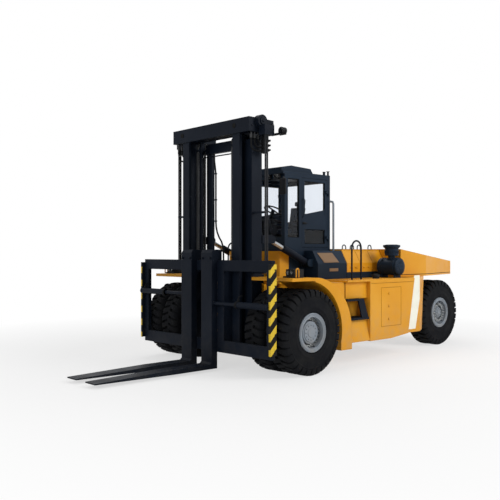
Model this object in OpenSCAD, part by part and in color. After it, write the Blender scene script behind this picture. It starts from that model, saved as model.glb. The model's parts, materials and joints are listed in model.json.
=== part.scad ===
/* [Wheels] */
// Radius of every tyre, out to the tips of its lugs
tyre_r = 807; // [760:1:840]
// Width of every tyre
tyre_w = 500; // [460:1:520]
// Radius of the rim seat inside a tyre
bead_r = 318; // [300:1:330]
// Gap between the two tyres of a front pair
twin_gap = 80; // [60:1:100]
// Middle of an outer front tyre, from the centre line
front_y = 1900; // [1890:1:1960]
// Middle of a rear tyre, from the centre line
rear_y = 1140; // [1130:1:1180]
// Front axle to rear axle
wheelbase = 5600; // [5560:1:5800]
// Kingpin of a steered wheel, from the centre line
kingpin_y = 750; // [740:1:760]

/* [Body] */
// Outside width over the side tanks
tank_w = 4000; // [3900:1:4060]
// Underside of the side tanks
tank_low_z = 470; // [420:1:560]
// Walking deck, the top of the side tanks
deck_z = 1735; // [1710:1:1760]
// Back end of the side tanks, ahead of the rear axle
tank_end = 2060; // [2030:1:2200]
// Length of the stepped recess in a side tank
step_len = 740; // [600:1:860]
// Depth of the stepped recess
step_depth = 340; // [260:1:420]
// Top of a front fender
fender_top_z = 1830; // [1800:1:1900]
// Outside of a front fender, from the centre line
fender_y = 2110; // [2080:1:2140]
// Width of the hood across its upright sides
hood_w = 2330; // [2200:1:2400]
// Width of the hood across its flat top
hood_top_w = 2020; // [1900:1:2100]
// Height at which the hood's sides start to lean in
shoulder_z = 2070; // [2000:1:2140]
// Top of the hood's sides, under the lid
hood_z = 2340; // [2300:1:2342]
// Height of the dark plinth under the hood
plinth_h = 135; // [100:1:160]
// Front face of the counterweight, ahead of the rear axle
weight_ahead = 2020; // [1950:1:2025]
// Width of the counterweight
weight_w = 3200; // [3000:1:3280]
// Reach of the tail behind the rear axle
tail = 1140; // [1100:1:1250]
// Top of the counterweight at its front face
weight_top_z = 2380; // [2340:1:2420]
// Seam between the counterweight and the frame below it
weight_low_z = 1750; // [1745:1:1780]

/* [Cab] */
// Outside width of the cab
cab_w = 1440; // [1380:1:1470]
// Length of the cab
cab_len = 1450; // [1400:1:1470]
// Front of the cab, behind the front axle
cab_front = 700; // [690:1:730]
// Top of the cab walls
cab_top_z = 3950; // [3850:1:4000]
// Thickness of the cab walls and doors
cab_wall = 60; // [50:1:70]
// Thickness of the window glass
glass_t = 10; // [6:1:14]

/* [Mast] */
// Drop from the top of the head beam to the top of the outer uprights
outer_drop = 380; // [370:1:480]
// Top of the head beam on the inner uprights
mast_top_z = 4880; // [4800:1:4950]
// Height of the head beam
head_h = 275; // [240:1:290]
// Width of the head beam
head_w = 2366; // [2200:1:2420]
// Outside of the outer uprights, from the centre line
outer_y = 1020; // [1010:1:1030]
// Depth of an outer upright, front to back
outer_depth = 270; // [250:1:280]
// Back of the outer uprights, ahead of the front axle
mast_back = 250; // [245:1:260]
// Travel of the inner mast, and of the carriage on it
lift = 2000; // [1500:10:2020]
// Radius of a lift cylinder's barrel
lift_barrel_r = 85; // [75:1:88]
// Radius of a lift cylinder's rod
lift_rod_r = 60; // [50:1:66]
// Radius of the axle journals that the mast tilts on
journal_r = 180; // [160:1:190]

/* [Carriage] */
// Width of the carriage
carriage_w = 4040; // [3900:1:4100]
// Back of the carriage, ahead of the front axle
carriage_x = 850; // [840:1:880]
// Depth of the carriage bars, front to back
bar_t = 80; // [60:1:90]
// Top of the carriage's upper bar
bar_top_z = 2155; // [2100:1:2180]
// Length of a fork blade ahead of its shank
fork_len = 2550; // [2300:1:2700]
// Width of a fork
fork_w = 320; // [280:1:340]
// Thickness of a fork's shank
fork_t = 140; // [120:1:150]
// Middle of a fork from the centre line as it stands
fork_y = 315; // [300:1:340]
// Underside of the fork blades
fork_low_z = 50; // [40:1:80]
// Travel of a fork outwards along the carriage
fork_travel = 600; // [500:1:610]

/* [Hidden] */

yellow = [0.94, 0.62, 0.10];
black = [0.08, 0.09, 0.11];
grey = [0.62, 0.64, 0.66];
tyre_black = [0.05, 0.05, 0.06];
clear_blue = [0.65, 0.75, 0.82, 0.5];

// Fits between pieces
seat_gap = 0.3;
run_gap = 0.05;
round_fn = 48;

// Places along the truck, ahead of the front axle
axle_z = tyre_r;
fork_x = carriage_x + bar_t + seat_gap;
tip_x = fork_x + fork_t + fork_len;
tail_x = -wheelbase - tail;
axle_x = -(tip_x + tail_x) / 2;
inner_tyre_y = front_y - tyre_w - twin_gap;
rail_in = 480;
rail_out = 560;
rail_low_z = 620;
rail_top_z = 1650;
rail_nose = 250;
rail_ahead = 1150;
rail_back = wheelbase - rail_ahead;
tank_back = wheelbase - tank_end;
weight_front = wheelbase - weight_ahead;
fender_back = 1180;
cab_back = cab_front + cab_len;
base_back = cab_back + 40;
base_wide = 1240;
engine_ahead = 130;
engine_behind = 290;
engine_x = [-weight_front + engine_ahead, -base_back - engine_behind];
plinth_z = deck_z + plinth_h;

// Tilt cylinder: chassis pin and mast pin, one above each journal
tilt_y = 927;
tilt_pin_x = -1150;
tilt_pin_z = 2080;
tilt_eye_x = -40;
tilt_eye_z = 2560;
tilt_len = norm([tilt_eye_x - tilt_pin_x, tilt_eye_z - tilt_pin_z]);
tilt_angle = atan2(tilt_eye_z - tilt_pin_z, tilt_eye_x - tilt_pin_x);
tilt_barrel_r = 75;
tilt_barrel_len = 790;
tilt_rod_r = 45;
tilt_pin_r = 38;
tilt_eye_r = 80;
tilt_eye_half = 50;
lug_t = 32;
lug_gap = tilt_barrel_r + 5;

// Mast sections, front to back
flange_t = 35;
heavy_flange = 60;
upright_web = 40;
inner_back = mast_back + flange_t + 45;
inner_front = 720;
inner_y = [683, 887];
inner_web_y = 720;
inner_low_z = 330;
outer_low_z = 300;
outer_flange_y = 800;
head_low_z = mast_top_z - head_h;
outer_top_z = mast_top_z - outer_drop;
lift_x = 100;
lift_y = 720;
lift_low_z = 1080;
lift_barrel_top = head_low_z - 185;
cross_x = [195, mast_back + flange_t];
inner_cross_x = [cross_x[1] + 15, cross_x[1] + 100];
cross_zs = [[1050, 1250], [1700, 1880], [outer_top_z - 120, outer_top_z + 90]];
inner_cross_zs = [[1300, 1450], [1950, 2080]];
ear_y = [850, 970];
plate_y = [600, 660];
roller_zs = [760, 1700];
sheave_x = 500;
sheave_r = 90;
sheave_z = head_low_z - 125;
chain_t = 30;
chain_y = [515, 575];
chain_gap = 6;
carriage_anchor_z = 1900;
chain_anchor_x = cross_x[1] - 1;
fixed_chain_low = 1160;
hose_mid_z = 3050;
hose_y = 1349;
hose_x = 474;
hose_r = 17;
hose_gap = 50;
hose_low_z = 1900;
roller_x = (inner_back + inner_front) / 2;
roller_r = (inner_front - inner_back) / 2 - heavy_flange - seat_gap;
side_t = 40;
side_depth = 160;
positioner_zs = [1320, 1470];
positioner_r = 60;
positioner_rod_r = 35;
positioner_y = [fork_y + fork_w / 2 + fork_travel + 35, carriage_w / 2 - side_t];
positioner_rod_end = fork_y + fork_w / 2 + 795;
positioner_x = fork_x + fork_t / 2;

// Cab doors
door_x = [-cab_back + 94, -cab_front - 534];
door_z = [hood_z + 74, cab_top_z - 54];
door_gap = 6;
hinge_x = -cab_back + 75;
hinge_r = 22;
hinge_y = cab_w / 2 + hinge_r + 3;
hinge_pin_r = 12;
hinge_zs = [hood_z + 260, hood_z + 1260];
hinge_h = 60;
cab_floor_t = 50;

// Steered axle
knuckle_half = 210;
axle_eye_half = 145;
axle_eye_r = 110;
kingpin_r = 55;
spindle_r = 95;
hub_r = 120;

module from_axle() translate([axle_x, 0, 0]) children();
module block(x, y, z) translate([x[0], y[0], z[0]]) cube([x[1] - x[0], y[1] - y[0], z[1] - z[0]]);
module on_side(s) if (s > 0) children(); else mirror([0, 1, 0]) children();
module both_sides() for (s = [1, -1]) on_side(s) children();
module across(r, y, x, z) translate([x, y[0], z]) rotate([-90, 0, 0])
    cylinder(r = r, h = y[1] - y[0], $fn = round_fn);
module along_x(r, x, y, z) translate([x[0], y, z]) rotate([0, 90, 0])
    cylinder(r = r, h = x[1] - x[0], $fn = round_fn);
module upright_post(r, x, y, z) translate([x, y, z[0]]) cylinder(r = r, h = z[1] - z[0], $fn = round_fn);
// Outline drawn in x and z, pushed through y
module side_profile(y, points) translate([0, y[1], 0]) rotate([90, 0, 0])
    linear_extrude(y[1] - y[0]) polygon(points);
// Half outline given as radius and width, turned about the wheel's own axle
module wheel_turn(y, points, fn = round_fn) translate([0, y, axle_z]) rotate([-90, 0, 0])
    rotate_extrude($fn = fn) polygon(points);

// Wheels

tyre_half = tyre_w / 2;
bead_half = tyre_half - 45;
flange_r = bead_r + 51;
tyre_fn = 24;
lug_count = 32;
lug_pitch = 360 / lug_count;
lug_share = 0.36;
lug_tip_r = tyre_r / cos(lug_share * lug_pitch);
lug_root_r = tyre_r - 55;
lug_half = tyre_half - 14;
// Columns: share of the lug pitch, radius
lug_corners = [[-0.40, lug_root_r], [-lug_share, lug_tip_r], [lug_share, lug_tip_r], [0.40, lug_root_r]];
carcass_section = [
    [bead_r + seat_gap, -bead_half], [flange_r + 6, -bead_half], [tyre_r * 0.72, -tyre_half],
    [lug_root_r - 12, -tyre_half + 30], [lug_root_r - 12, tyre_half - 30], [tyre_r * 0.72, tyre_half],
    [flange_r + 6, bead_half], [bead_r + seat_gap, bead_half]
];
// A turned carcass with a ring of lugs across its tread
module tyre(y) {
    wheel_turn(y, carcass_section, tyre_fn);
    translate([0, y + lug_half, axle_z]) rotate([90, 0, 0]) linear_extrude(2 * lug_half) difference() {
        polygon([
            for (i = [0 : lug_count - 1]) for (c = lug_corners)
                c[1] * [cos((i + c[0]) * lug_pitch), sin((i + c[0]) * lug_pitch)]
        ]);
        circle(r = tyre_r * 0.8, $fn = tyre_fn);
    }
}
rim_wall = 26;
module rim_barrel(y) wheel_turn(y, [
    [bead_r - rim_wall, -bead_half - 22], [flange_r, -bead_half - 22], [flange_r, -bead_half - seat_gap],
    [bead_r, -bead_half - seat_gap], [bead_r, bead_half + seat_gap], [flange_r, bead_half + seat_gap],
    [flange_r, bead_half + 22], [bead_r - rim_wall, bead_half + 22]
], tyre_fn);
disc_t = 34;
disc_r = bead_r - rim_wall / 2;
front_disc_y = front_y + 40;
module front_tyres(s) color(tyre_black) from_axle() on_side(s)
    for (y = [inner_tyre_y, front_y]) tyre(y);
module front_rims(s) color(grey) from_axle() on_side(s) {
    for (y = [inner_tyre_y, front_y]) rim_barrel(y);
    wheel_turn(0, [
        [hub_r + run_gap, inner_tyre_y - bead_half], [hub_r + 60, inner_tyre_y - bead_half],
        [hub_r + 60, front_disc_y - disc_t], [disc_r, front_disc_y - disc_t],
        [disc_r, front_disc_y], [hub_r + 110, front_disc_y],
        [hub_r + 90, front_y + bead_half - 40], [0, front_y + bead_half - 20], [0, front_disc_y + 60],
        [hub_r + run_gap, front_disc_y + 60]
    ]);
    wheel_turn(0, [
        [hub_r + 59, inner_tyre_y + 60], [disc_r, inner_tyre_y + 60],
        [disc_r, inner_tyre_y + 60 + disc_t], [hub_r + 59, inner_tyre_y + 60 + disc_t]
    ]);
}
rear_disc_y = rear_y + 110;
module at_rear_axle() translate([-wheelbase, 0, 0]) children();
module rear_tyre(s) color(tyre_black) from_axle() on_side(s) at_rear_axle() tyre(rear_y);
module rear_rim(s) color(grey) from_axle() on_side(s) at_rear_axle() {
    rim_barrel(rear_y);
    wheel_turn(0, [
        [spindle_r + run_gap, rear_y - 190], [spindle_r + 65, rear_y - 190],
        [spindle_r + 65, rear_disc_y - disc_t], [disc_r, rear_disc_y - disc_t],
        [disc_r, rear_disc_y], [spindle_r + 50, rear_disc_y],
        [spindle_r + 30, rear_disc_y + 70], [0, rear_disc_y + 80], [0, rear_disc_y + 40],
        [spindle_r + run_gap, rear_disc_y + 40]
    ]);
}
module knuckle(s) color(black) from_axle() on_side(s) at_rear_axle() {
    for (z = [axle_z - knuckle_half, axle_z + axle_eye_half + 5]) {
        upright_post(axle_eye_r, 0, kingpin_y, [z, z + knuckle_half - axle_eye_half - 5]);
        block([-100, 100], [kingpin_y, kingpin_y + 120], [z, z + knuckle_half - axle_eye_half - 5]);
    }
    upright_post(kingpin_r, 0, kingpin_y, [axle_z - knuckle_half, axle_z + knuckle_half]);
    block([-100, 100], [kingpin_y + 115, kingpin_y + 160], [axle_z - knuckle_half, axle_z + knuckle_half]);
    across(spindle_r, [kingpin_y + 150, rear_disc_y + 30], 0, axle_z);
}

// Frame and axles

beam_t = 80;
tail_in = 400;
saddle_y = 420;
trunnion_x = [125, 290];
trunnion_r = 90;
module frame() color(yellow) from_axle() difference() {
    union() {
        both_sides() {
            block([-rail_back, -rail_nose], [rail_in, rail_out], [rail_low_z, rail_top_z]);
            block([-rail_nose, journal_r - 30], [rail_in, rail_out], [rail_low_z, axle_z + 230]);
        }
        for (x = [-rail_nose - beam_t, engine_x[1] - beam_t, engine_x[0], -rail_back])
            block([x, x + beam_t], [-rail_out, rail_out], [rail_low_z, axle_z + 60]);
        for (x = [-rail_nose - beam_t, -rail_back])
            block([x, x + beam_t], [-rail_out, rail_out], [rail_low_z, rail_top_z]);
        block([tail_x + tail_in, -rail_back + beam_t], [-saddle_y, saddle_y], [rail_top_z, weight_low_z]);
        for (x = [-wheelbase - trunnion_x[1], -wheelbase + trunnion_x[0]])
            block([x, x + trunnion_x[1] - trunnion_x[0]], [-200, 200], [axle_z - 160, rail_top_z]);
    }
    across(journal_r + seat_gap, [-rail_out - 1, rail_out + 1], 0, axle_z);
    along_x(trunnion_r + seat_gap, [-wheelbase - tail_in, -wheelbase + tail_in], 0, axle_z);
}
module front_axle() color(black) from_axle() {
    across(journal_r, [-inner_tyre_y + bead_half + 32, inner_tyre_y - bead_half - 32], 0, axle_z);
    across(journal_r + 60, [-240, 240], 0, axle_z);
    both_sides() across(hub_r, [inner_tyre_y - bead_half - 40, front_disc_y + 50], 0, axle_z);
}
module steer_axle() color(black) from_axle() at_rear_axle() difference() {
    union() {
        block([-110, 110], [-kingpin_y, kingpin_y], [axle_z - axle_eye_half, axle_z + axle_eye_half]);
        both_sides() upright_post(axle_eye_r, 0, kingpin_y, [axle_z - axle_eye_half, axle_z + axle_eye_half]);
        along_x(trunnion_r, [-trunnion_x[1], trunnion_x[1]], 0, axle_z);
    }
    both_sides() upright_post(kingpin_r + run_gap, 0, kingpin_y, [0, 2 * axle_z]);
}

// Body sides

tank_y = tank_w / 2;
tank_front = fender_back;
tank_slant = 250;
tank_rise = 60;
module side_tank(s) color(yellow) from_axle() on_side(s) difference() {
    side_profile([rail_out, tank_y], [
        [-tank_front, tank_low_z], [-tank_front, deck_z], [-tank_back, deck_z],
        [-tank_back + tank_slant, tank_low_z + tank_rise], [-tank_back + 900, tank_low_z]
    ]);
    block([-tank_front - step_len, -tank_front + 1], [tank_y - step_depth, tank_y + 1], [0, deck_z - 30]);
}
tread_zs = [970, 1360];
tread_t = 40;
tread_len = [step_len - 10, step_len - 260];
module steps() color(black) from_axle() both_sides() {
    for (i = [0, 1]) block([-tank_front - tread_len[i], -tank_front - 10],
        [tank_y - step_depth, tank_y - 20], [tread_zs[i] - tread_t, tread_zs[i]]);
    side_profile([tank_y - 60, tank_y - 30], [
        [-tank_front - tread_len[0], tread_zs[0] - tread_t],
        [-tank_front - tread_len[0] + 210, tread_zs[0] - tread_t],
        [-tank_front - tread_len[1] + 100, tread_zs[1]], [-tank_front - tread_len[1] - 80, tread_zs[1]]
    ]);
}
rail_r = 18;
loop_x = [-1740, -1440];
loop_top_z = 2540;
grab_x = -cab_back - rail_r;
grab_top_z = hood_z + 1060;
module bent_loop(x, y, z, r) {
    mid = (x[0] + x[1]) / 2;
    half = (x[1] - x[0]) / 2;
    for (px = x) upright_post(r, px, y, [z[0], z[1] - half]);
    translate([mid, y, z[1] - half]) rotate([90, 0, 0]) rotate_extrude(angle = 180, $fn = round_fn)
        translate([half, 0]) circle(r, $fn = 24);
}
module handrails() color(black) from_axle() both_sides() {
    bent_loop(loop_x, tank_y - 100, [deck_z, loop_top_z], rail_r);
    upright_post(rail_r - 1, grab_x, cab_w / 2 - 60, [hood_z, grab_top_z]);
    block([grab_x, -cab_back], [cab_w / 2 - 72, cab_w / 2 - 48], [grab_top_z - 30, grab_top_z]);
}
fender_in = outer_y + 15;
fender_mid = 90;
fender_r = fender_back - fender_mid;
fender_low_z = 390;
fender_foot = 330;
visor_front = 540;
visor_t = 60;
arch_r = tyre_r + 168;
arch_x = 100;
arch_z = axle_z - 17;
// A rounded mudguard with a flat visor ahead, hollowed for the tyres
module fender(s) color(yellow) from_axle() on_side(s) difference() {
    union() {
        intersection() {
            across(fender_r, [fender_in, fender_y], -fender_mid, fender_top_z - fender_r);
            block([-fender_back, -fender_mid], [fender_in, fender_y],
                [fender_top_z - fender_r, fender_top_z]);
        }
        block([-fender_back, -fender_back + fender_foot], [fender_in, fender_y],
            [fender_low_z, fender_top_z - fender_r + 1]);
        block([-fender_mid - 1, visor_front], [fender_in, fender_y], [fender_top_z - visor_t, fender_top_z]);
    }
    across(arch_r, [fender_in - 1, fender_y + 1], arch_x, arch_z);
}
lamp_x = [60, 330];
lamp_y = 1840;
module headlamps() color(black) from_axle() both_sides() {
    block(lamp_x, [lamp_y - 90, lamp_y + 110], [fender_top_z, fender_top_z + 160]);
    block([lamp_x[1] - 60, lamp_x[1] + 20], [lamp_y - 150, lamp_y + 170], [fender_top_z, fender_top_z + 30]);
}

// Cab base, hood and tail

cowl_front = 330;
cowl_back = 760;
cowl_y = 780;
module front_cowl() color(yellow) from_axle() translate([0, 0, rail_top_z])
    linear_extrude(hood_z - 10 - rail_top_z) polygon([
        [-cowl_front, cowl_y - 200], [-cowl_front - 160, cowl_y], [-cowl_back, cowl_y],
        [-cowl_back, -cowl_y], [-cowl_front - 160, -cowl_y], [-cowl_front, -cowl_y + 200]
    ]);
panel_t = 45;
module hood_outline(low, inset) polygon([
    [hood_w / 2 - inset, low], [hood_w / 2 - inset, shoulder_z], [hood_top_w / 2 - inset, hood_z],
    [-hood_top_w / 2 + inset, hood_z], [-hood_w / 2 + inset, shoulder_z], [-hood_w / 2 + inset, low]
]);
module along_truck(x) translate([x[0], 0, 0]) rotate([90, 0, 90]) linear_extrude(x[1] - x[0]) children();
module cab_base() color(black) from_axle() {
    along_truck([-base_back, -base_wide]) hood_outline(deck_z, 0);
    block([-base_wide - 1, -cowl_back], [-cowl_y, cowl_y], [deck_z, hood_z]);
    both_sides() {
        block([-weight_front, -base_back + 1], [hood_w / 2 - 90, hood_w / 2 + 10], [deck_z, plinth_z]);
        for (y = [tilt_y - lug_gap - lug_t, tilt_y + lug_gap]) {
            block([-base_wide - 1, tilt_pin_x], [y, y + lug_t],
                [tilt_pin_z - tilt_eye_r, tilt_pin_z + tilt_eye_r]);
            across(tilt_eye_r, [y, y + lug_t], tilt_pin_x, tilt_pin_z);
        }
        across(tilt_pin_r, [tilt_y - lug_gap - lug_t, tilt_y + lug_gap + lug_t], tilt_pin_x, tilt_pin_z);
    }
}
lid_t = 30;
lid_low_z = hood_z + seat_gap;
lid_hinge_y = -hood_top_w / 2;
lid_pin_r = 10;
lid_knuckle_r = 18;
lid_hinge_z = hood_z + lid_knuckle_r + 3;
lid_knuckle_len = 90;
lid_hinge_xs = [-base_back - 400, -weight_front + 300];
module side_panel() along_truck([-weight_front, -base_back]) polygon([
    [hood_w / 2, plinth_z], [hood_w / 2, shoulder_z], [hood_top_w / 2, hood_z],
    [hood_top_w / 2 - panel_t, hood_z], [hood_w / 2 - panel_t, shoulder_z - 20],
    [hood_w / 2 - panel_t, plinth_z]
]);
module hood_side(s) color(yellow) from_axle() {
    on_side(s) side_panel();
    if (s < 0) for (x = lid_hinge_xs) {
        block([x - 30, x], [lid_hinge_y - 12, lid_hinge_y + 20], [hood_z - 30, lid_hinge_z + 12]);
        along_x(lid_pin_r, [x - 1, x + lid_knuckle_len], lid_hinge_y, lid_hinge_z);
    }
}
module hood_lid() color(yellow) from_axle() {
    block([-weight_front + 12, -base_back - 12], [lid_hinge_y + 45, hood_top_w / 2],
        [lid_low_z, lid_low_z + lid_t]);
    for (x = lid_hinge_xs) difference() {
        union() {
            along_x(lid_knuckle_r, [x + 2, x + lid_knuckle_len], lid_hinge_y, lid_hinge_z);
            block([x + 2, x + lid_knuckle_len], [lid_hinge_y, lid_hinge_y + 46],
                [lid_hinge_z - 8, lid_low_z + lid_t]);
        }
        along_x(lid_pin_r + run_gap, [x, x + lid_knuckle_len + 1], lid_hinge_y, lid_hinge_z);
    }
}
// Places of the lid's handles, as shares of the hood's length
handle_shares = [0.165, 0.367, 0.547, 0.835];
hood_len = weight_front - base_back;
handle_h = 100;
module lid_handles() color(black) from_axle() for (share = handle_shares) {
    x = -base_back - share * hood_len;
    bent_loop([x - 60, x + 60], hood_top_w / 2 - 110, [lid_low_z + lid_t, lid_low_z + lid_t + handle_h], 12);
}
module engine() color(grey) from_axle()
    block(engine_x, [-rail_in + 90, rail_in - 90], [axle_z + 60, shoulder_z - 20]);
weight_plan = [
    [-weight_front, 1], [-weight_front - 1040, 1], [-wheelbase - tail + 360, 0.75],
    [-wheelbase - tail + 60, 0.45], [-wheelbase - tail, 0.3]
];
tow_r = 40;
tow_in = 160;
tow_deep = 190;
module counterweight() color(yellow) from_axle() difference() {
    intersection() {
        translate([0, 0, weight_low_z]) linear_extrude(weight_top_z) polygon([
            for (p = weight_plan) [p[0], p[1] * weight_w / 2],
            for (i = [len(weight_plan) - 1 : -1 : 0]) [weight_plan[i][0], -weight_plan[i][1] * weight_w / 2]
        ]);
        side_profile([-weight_w, weight_w], [
            [-weight_front + 1, weight_low_z - 1], [-weight_front + 1, weight_top_z],
            [-weight_front - 1020, weight_top_z - 140],
            [-wheelbase - tail + 340, weight_top_z - 300], [-wheelbase - tail - 1, weight_top_z - 520],
            [-wheelbase - tail + 60, weight_low_z - 1]
        ]);
    }
    block([-weight_front - 250, -weight_front + 2], [-hood_w / 2 - 10, hood_w / 2 + 10], [0, plinth_z]);
    upright_post(tow_r, tail_x + tow_in, 0, [weight_low_z - 1, weight_low_z + tow_deep]);
    block([tail_x - 1, tail_x + 2 * tow_in], [-150, 150], [weight_low_z + 60, weight_low_z + 160]);
}
pillar_back = 920;
pillar_flat = 260;
pillar_foot = 560;
module pillars() color(yellow) from_axle() both_sides() intersection() {
    linear_extrude(weight_low_z) polygon([
        [0, rail_out], [0, tank_y - 40], [-tank_back - pillar_flat, tank_y - 40],
        [-weight_front - pillar_back, weight_w / 2 + 10], [-weight_front - pillar_back, rail_out]
    ]);
    side_profile([0, tank_w], [
        [-tank_back, deck_z], [-weight_front, deck_z], [-weight_front, weight_low_z],
        [-weight_front - pillar_back, weight_low_z], [-weight_front - pillar_foot, tank_low_z + tank_rise],
        [-tank_back + tank_slant, tank_low_z + tank_rise]
    ]);
}
filter_x = -weight_front + 290;
filter_y = [1290, 1780];
filter_z = deck_z + 250;
pot_z = filter_z + 245;
filter_r = 190;
pot_r = 150;
pot_y = 1560;
module air_filter() color(black) from_axle() {
    across(filter_r, filter_y, filter_x, filter_z);
    across(filter_r + 12, [filter_y[0] + 60, filter_y[0] + 90], filter_x, filter_z);
    across(filter_r + 12, [filter_y[1] - 90, filter_y[1] - 60], filter_x, filter_z);
    upright_post(80, filter_x, pot_y, [filter_z, pot_z]);
    upright_post(pot_r, filter_x, pot_y, [pot_z, pot_z + 190]);
    upright_post(pot_r + 40, filter_x, pot_y, [pot_z + 190, pot_z + 240]);
    block([filter_x - 120, filter_x + 120], [filter_y[0] + 60, filter_y[0] + 90], [deck_z, filter_z - 100]);
    block([filter_x - 120, filter_x + 120], [filter_y[1] - 90, filter_y[1] - 60], [deck_z, filter_z - 100]);
}

// Cab

cab_y = cab_w / 2;
cab_x = [-cab_back, -cab_front];
pillar_w = 90;
rear_window_rise = 660;
window_rise = 280;
window_z = [hood_z + rear_window_rise, cab_top_z - pillar_w];
low_window_z = [hood_z + window_rise, cab_top_z - pillar_w];
side_window_x = [door_x[1] + pillar_w, -cab_front - pillar_w - 10];
module cab_frame() color(black) from_axle() {
    difference() {
        block(cab_x, [-cab_y, cab_y], [hood_z, cab_top_z]);
        block([cab_x[0] + cab_wall, cab_x[1] - cab_wall], [-cab_y + cab_wall, cab_y - cab_wall],
            [hood_z + cab_floor_t, cab_top_z + 1]);
        block([cab_x[1] - cab_wall - 1, cab_x[1] + 1], [-cab_y + pillar_w, cab_y - pillar_w], low_window_z);
        block([cab_x[0] - 1, cab_x[0] + cab_wall + 1], [-cab_y + pillar_w, cab_y - pillar_w], window_z);
        both_sides() {
            block([door_x[0] - door_gap, door_x[1] + door_gap], [cab_y - cab_wall - 1, cab_y + 1],
                [door_z[0] - door_gap, door_z[1] + door_gap]);
            block(side_window_x, [cab_y - cab_wall - 1, cab_y + 1], low_window_z);
        }
    }
    both_sides() for (z = hinge_zs) {
        block([hinge_x - 40, hinge_x], [cab_y - 10, hinge_y], [z - 50, z - 1]);
        upright_post(hinge_r, hinge_x, hinge_y, [z - 50, z - 1]);
        upright_post(hinge_pin_r, hinge_x, hinge_y, [z - 2, z + hinge_h]);
    }
}
roof_over = 40;
roof_t = 60;
cap_h = 130;
module cab_roof() color(black) from_axle() {
    block([cab_x[0], cab_x[1] + roof_over], [-cab_y, cab_y], [cab_top_z, cab_top_z + roof_t]);
    side_profile([-cab_y + 50, cab_y - 50], [
        [cab_x[1] + roof_over, cab_top_z + roof_t - 1],
        [cab_x[1] + roof_over, cab_top_z + roof_t + cap_h * 0.6],
        [cab_x[1] - 250, cab_top_z + roof_t + cap_h], [cab_x[1] - 860, cab_top_z + roof_t + cap_h * 0.8],
        [cab_x[1] - 940, cab_top_z + roof_t - 1]
    ]);
    for (y = [-cab_y + 120, cab_y - 160]) block([cab_x[0] + 20, cab_x[0] + 60], [y, y + 40],
        [cab_top_z + roof_t - 1, cab_top_z + roof_t + 80]);
}
module pane_y(x, y, z) block([x[0] + seat_gap, x[1] - seat_gap], [y - glass_t / 2, y + glass_t / 2],
    [z[0] + seat_gap, z[1] - seat_gap]);
module pane_x(x, y, z) block([x - glass_t / 2, x + glass_t / 2], [y[0] + seat_gap, y[1] - seat_gap],
    [z[0] + seat_gap, z[1] - seat_gap]);
module cab_glass() color(clear_blue) from_axle() {
    pane_x(cab_x[1] - cab_wall / 2, [-cab_y + pillar_w, cab_y - pillar_w], low_window_z);
    pane_x(cab_x[0] + cab_wall / 2, [-cab_y + pillar_w, cab_y - pillar_w], window_z);
    both_sides() pane_y(side_window_x, cab_y - cab_wall / 2, low_window_z);
}
seat_reach = 680;
seat_len = 470;
seat_x = [-cab_front - seat_reach - seat_len, -cab_front - seat_reach];
seat_w = 500;
seat_foot_h = 300;
seat_h = 440;
seat_back_h = 1060;
seat_back_t = 130;
seat_lean = 110;
cab_floor_top = hood_z + cab_floor_t;
module seat() color(black) from_axle() translate([0, 0, cab_floor_top]) {
    block([seat_x[0] + 60, seat_x[1] - 60], [-170, 170], [0, seat_foot_h]);
    block(seat_x, [-seat_w / 2, seat_w / 2], [seat_foot_h - 1, seat_h]);
    side_profile([-seat_w / 2 + 20, seat_w / 2 - 20], [
        [seat_x[0] + seat_back_t, seat_h - 10], [seat_x[0], seat_h - 10],
        [seat_x[0] - seat_lean, seat_back_h], [seat_x[0] - 10, seat_back_h]
    ]);
}
wheel_reach = 390;
wheel_rise = 890;
wheel_x = -cab_front - wheel_reach;
wheel_z = hood_z + wheel_rise;
dash_h = 590;
dash_len = 160;
module console() color(black) from_axle() {
    block([cab_x[1] - cab_wall - dash_len, cab_x[1] - cab_wall], [-260, 260],
        [cab_floor_top, cab_floor_top + dash_h]);
    translate([wheel_x, 0, wheel_z]) rotate([0, -25, 0]) {
        rotate_extrude($fn = round_fn) translate([200, 0]) circle(16, $fn = 24);
        translate([-200, -18, -10]) cube([400, 36, 20]);
        translate([0, 0, -440]) cylinder(r = 40, h = 440, $fn = round_fn);
    }
}
door_window_rise = [150, 460, 780];
door_windows = [
    [hood_z + door_window_rise[0], hood_z + door_window_rise[1]],
    [hood_z + door_window_rise[2], cab_top_z - pillar_w - 30]
];
door_win_x = [door_x[0] + 80, door_x[1] - 80];
module door(s) color(black) from_axle() on_side(s) {
    difference() {
        block(door_x, [cab_y - cab_wall, cab_y], door_z);
        for (z = door_windows) block(door_win_x, [cab_y - cab_wall - 1, cab_y + 1], z);
    }
    for (z = hinge_zs) difference() {
        union() {
            upright_post(hinge_r, hinge_x, hinge_y, [z, z + hinge_h]);
            block([hinge_x, door_x[0] + 60], [cab_y + 6, hinge_y + 10], [z, z + hinge_h]);
            block([door_x[0] + 4, door_x[0] + 60], [cab_y - 1, cab_y + 7], [z, z + hinge_h]);
        }
        upright_post(hinge_pin_r + run_gap, hinge_x, hinge_y, [z - 1, z + hinge_h + 1]);
    }
}
module door_glass(s) color(clear_blue) from_axle() on_side(s)
    for (z = door_windows) pane_y(door_win_x, cab_y - cab_wall / 2, z);

// Outer mast

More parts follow.
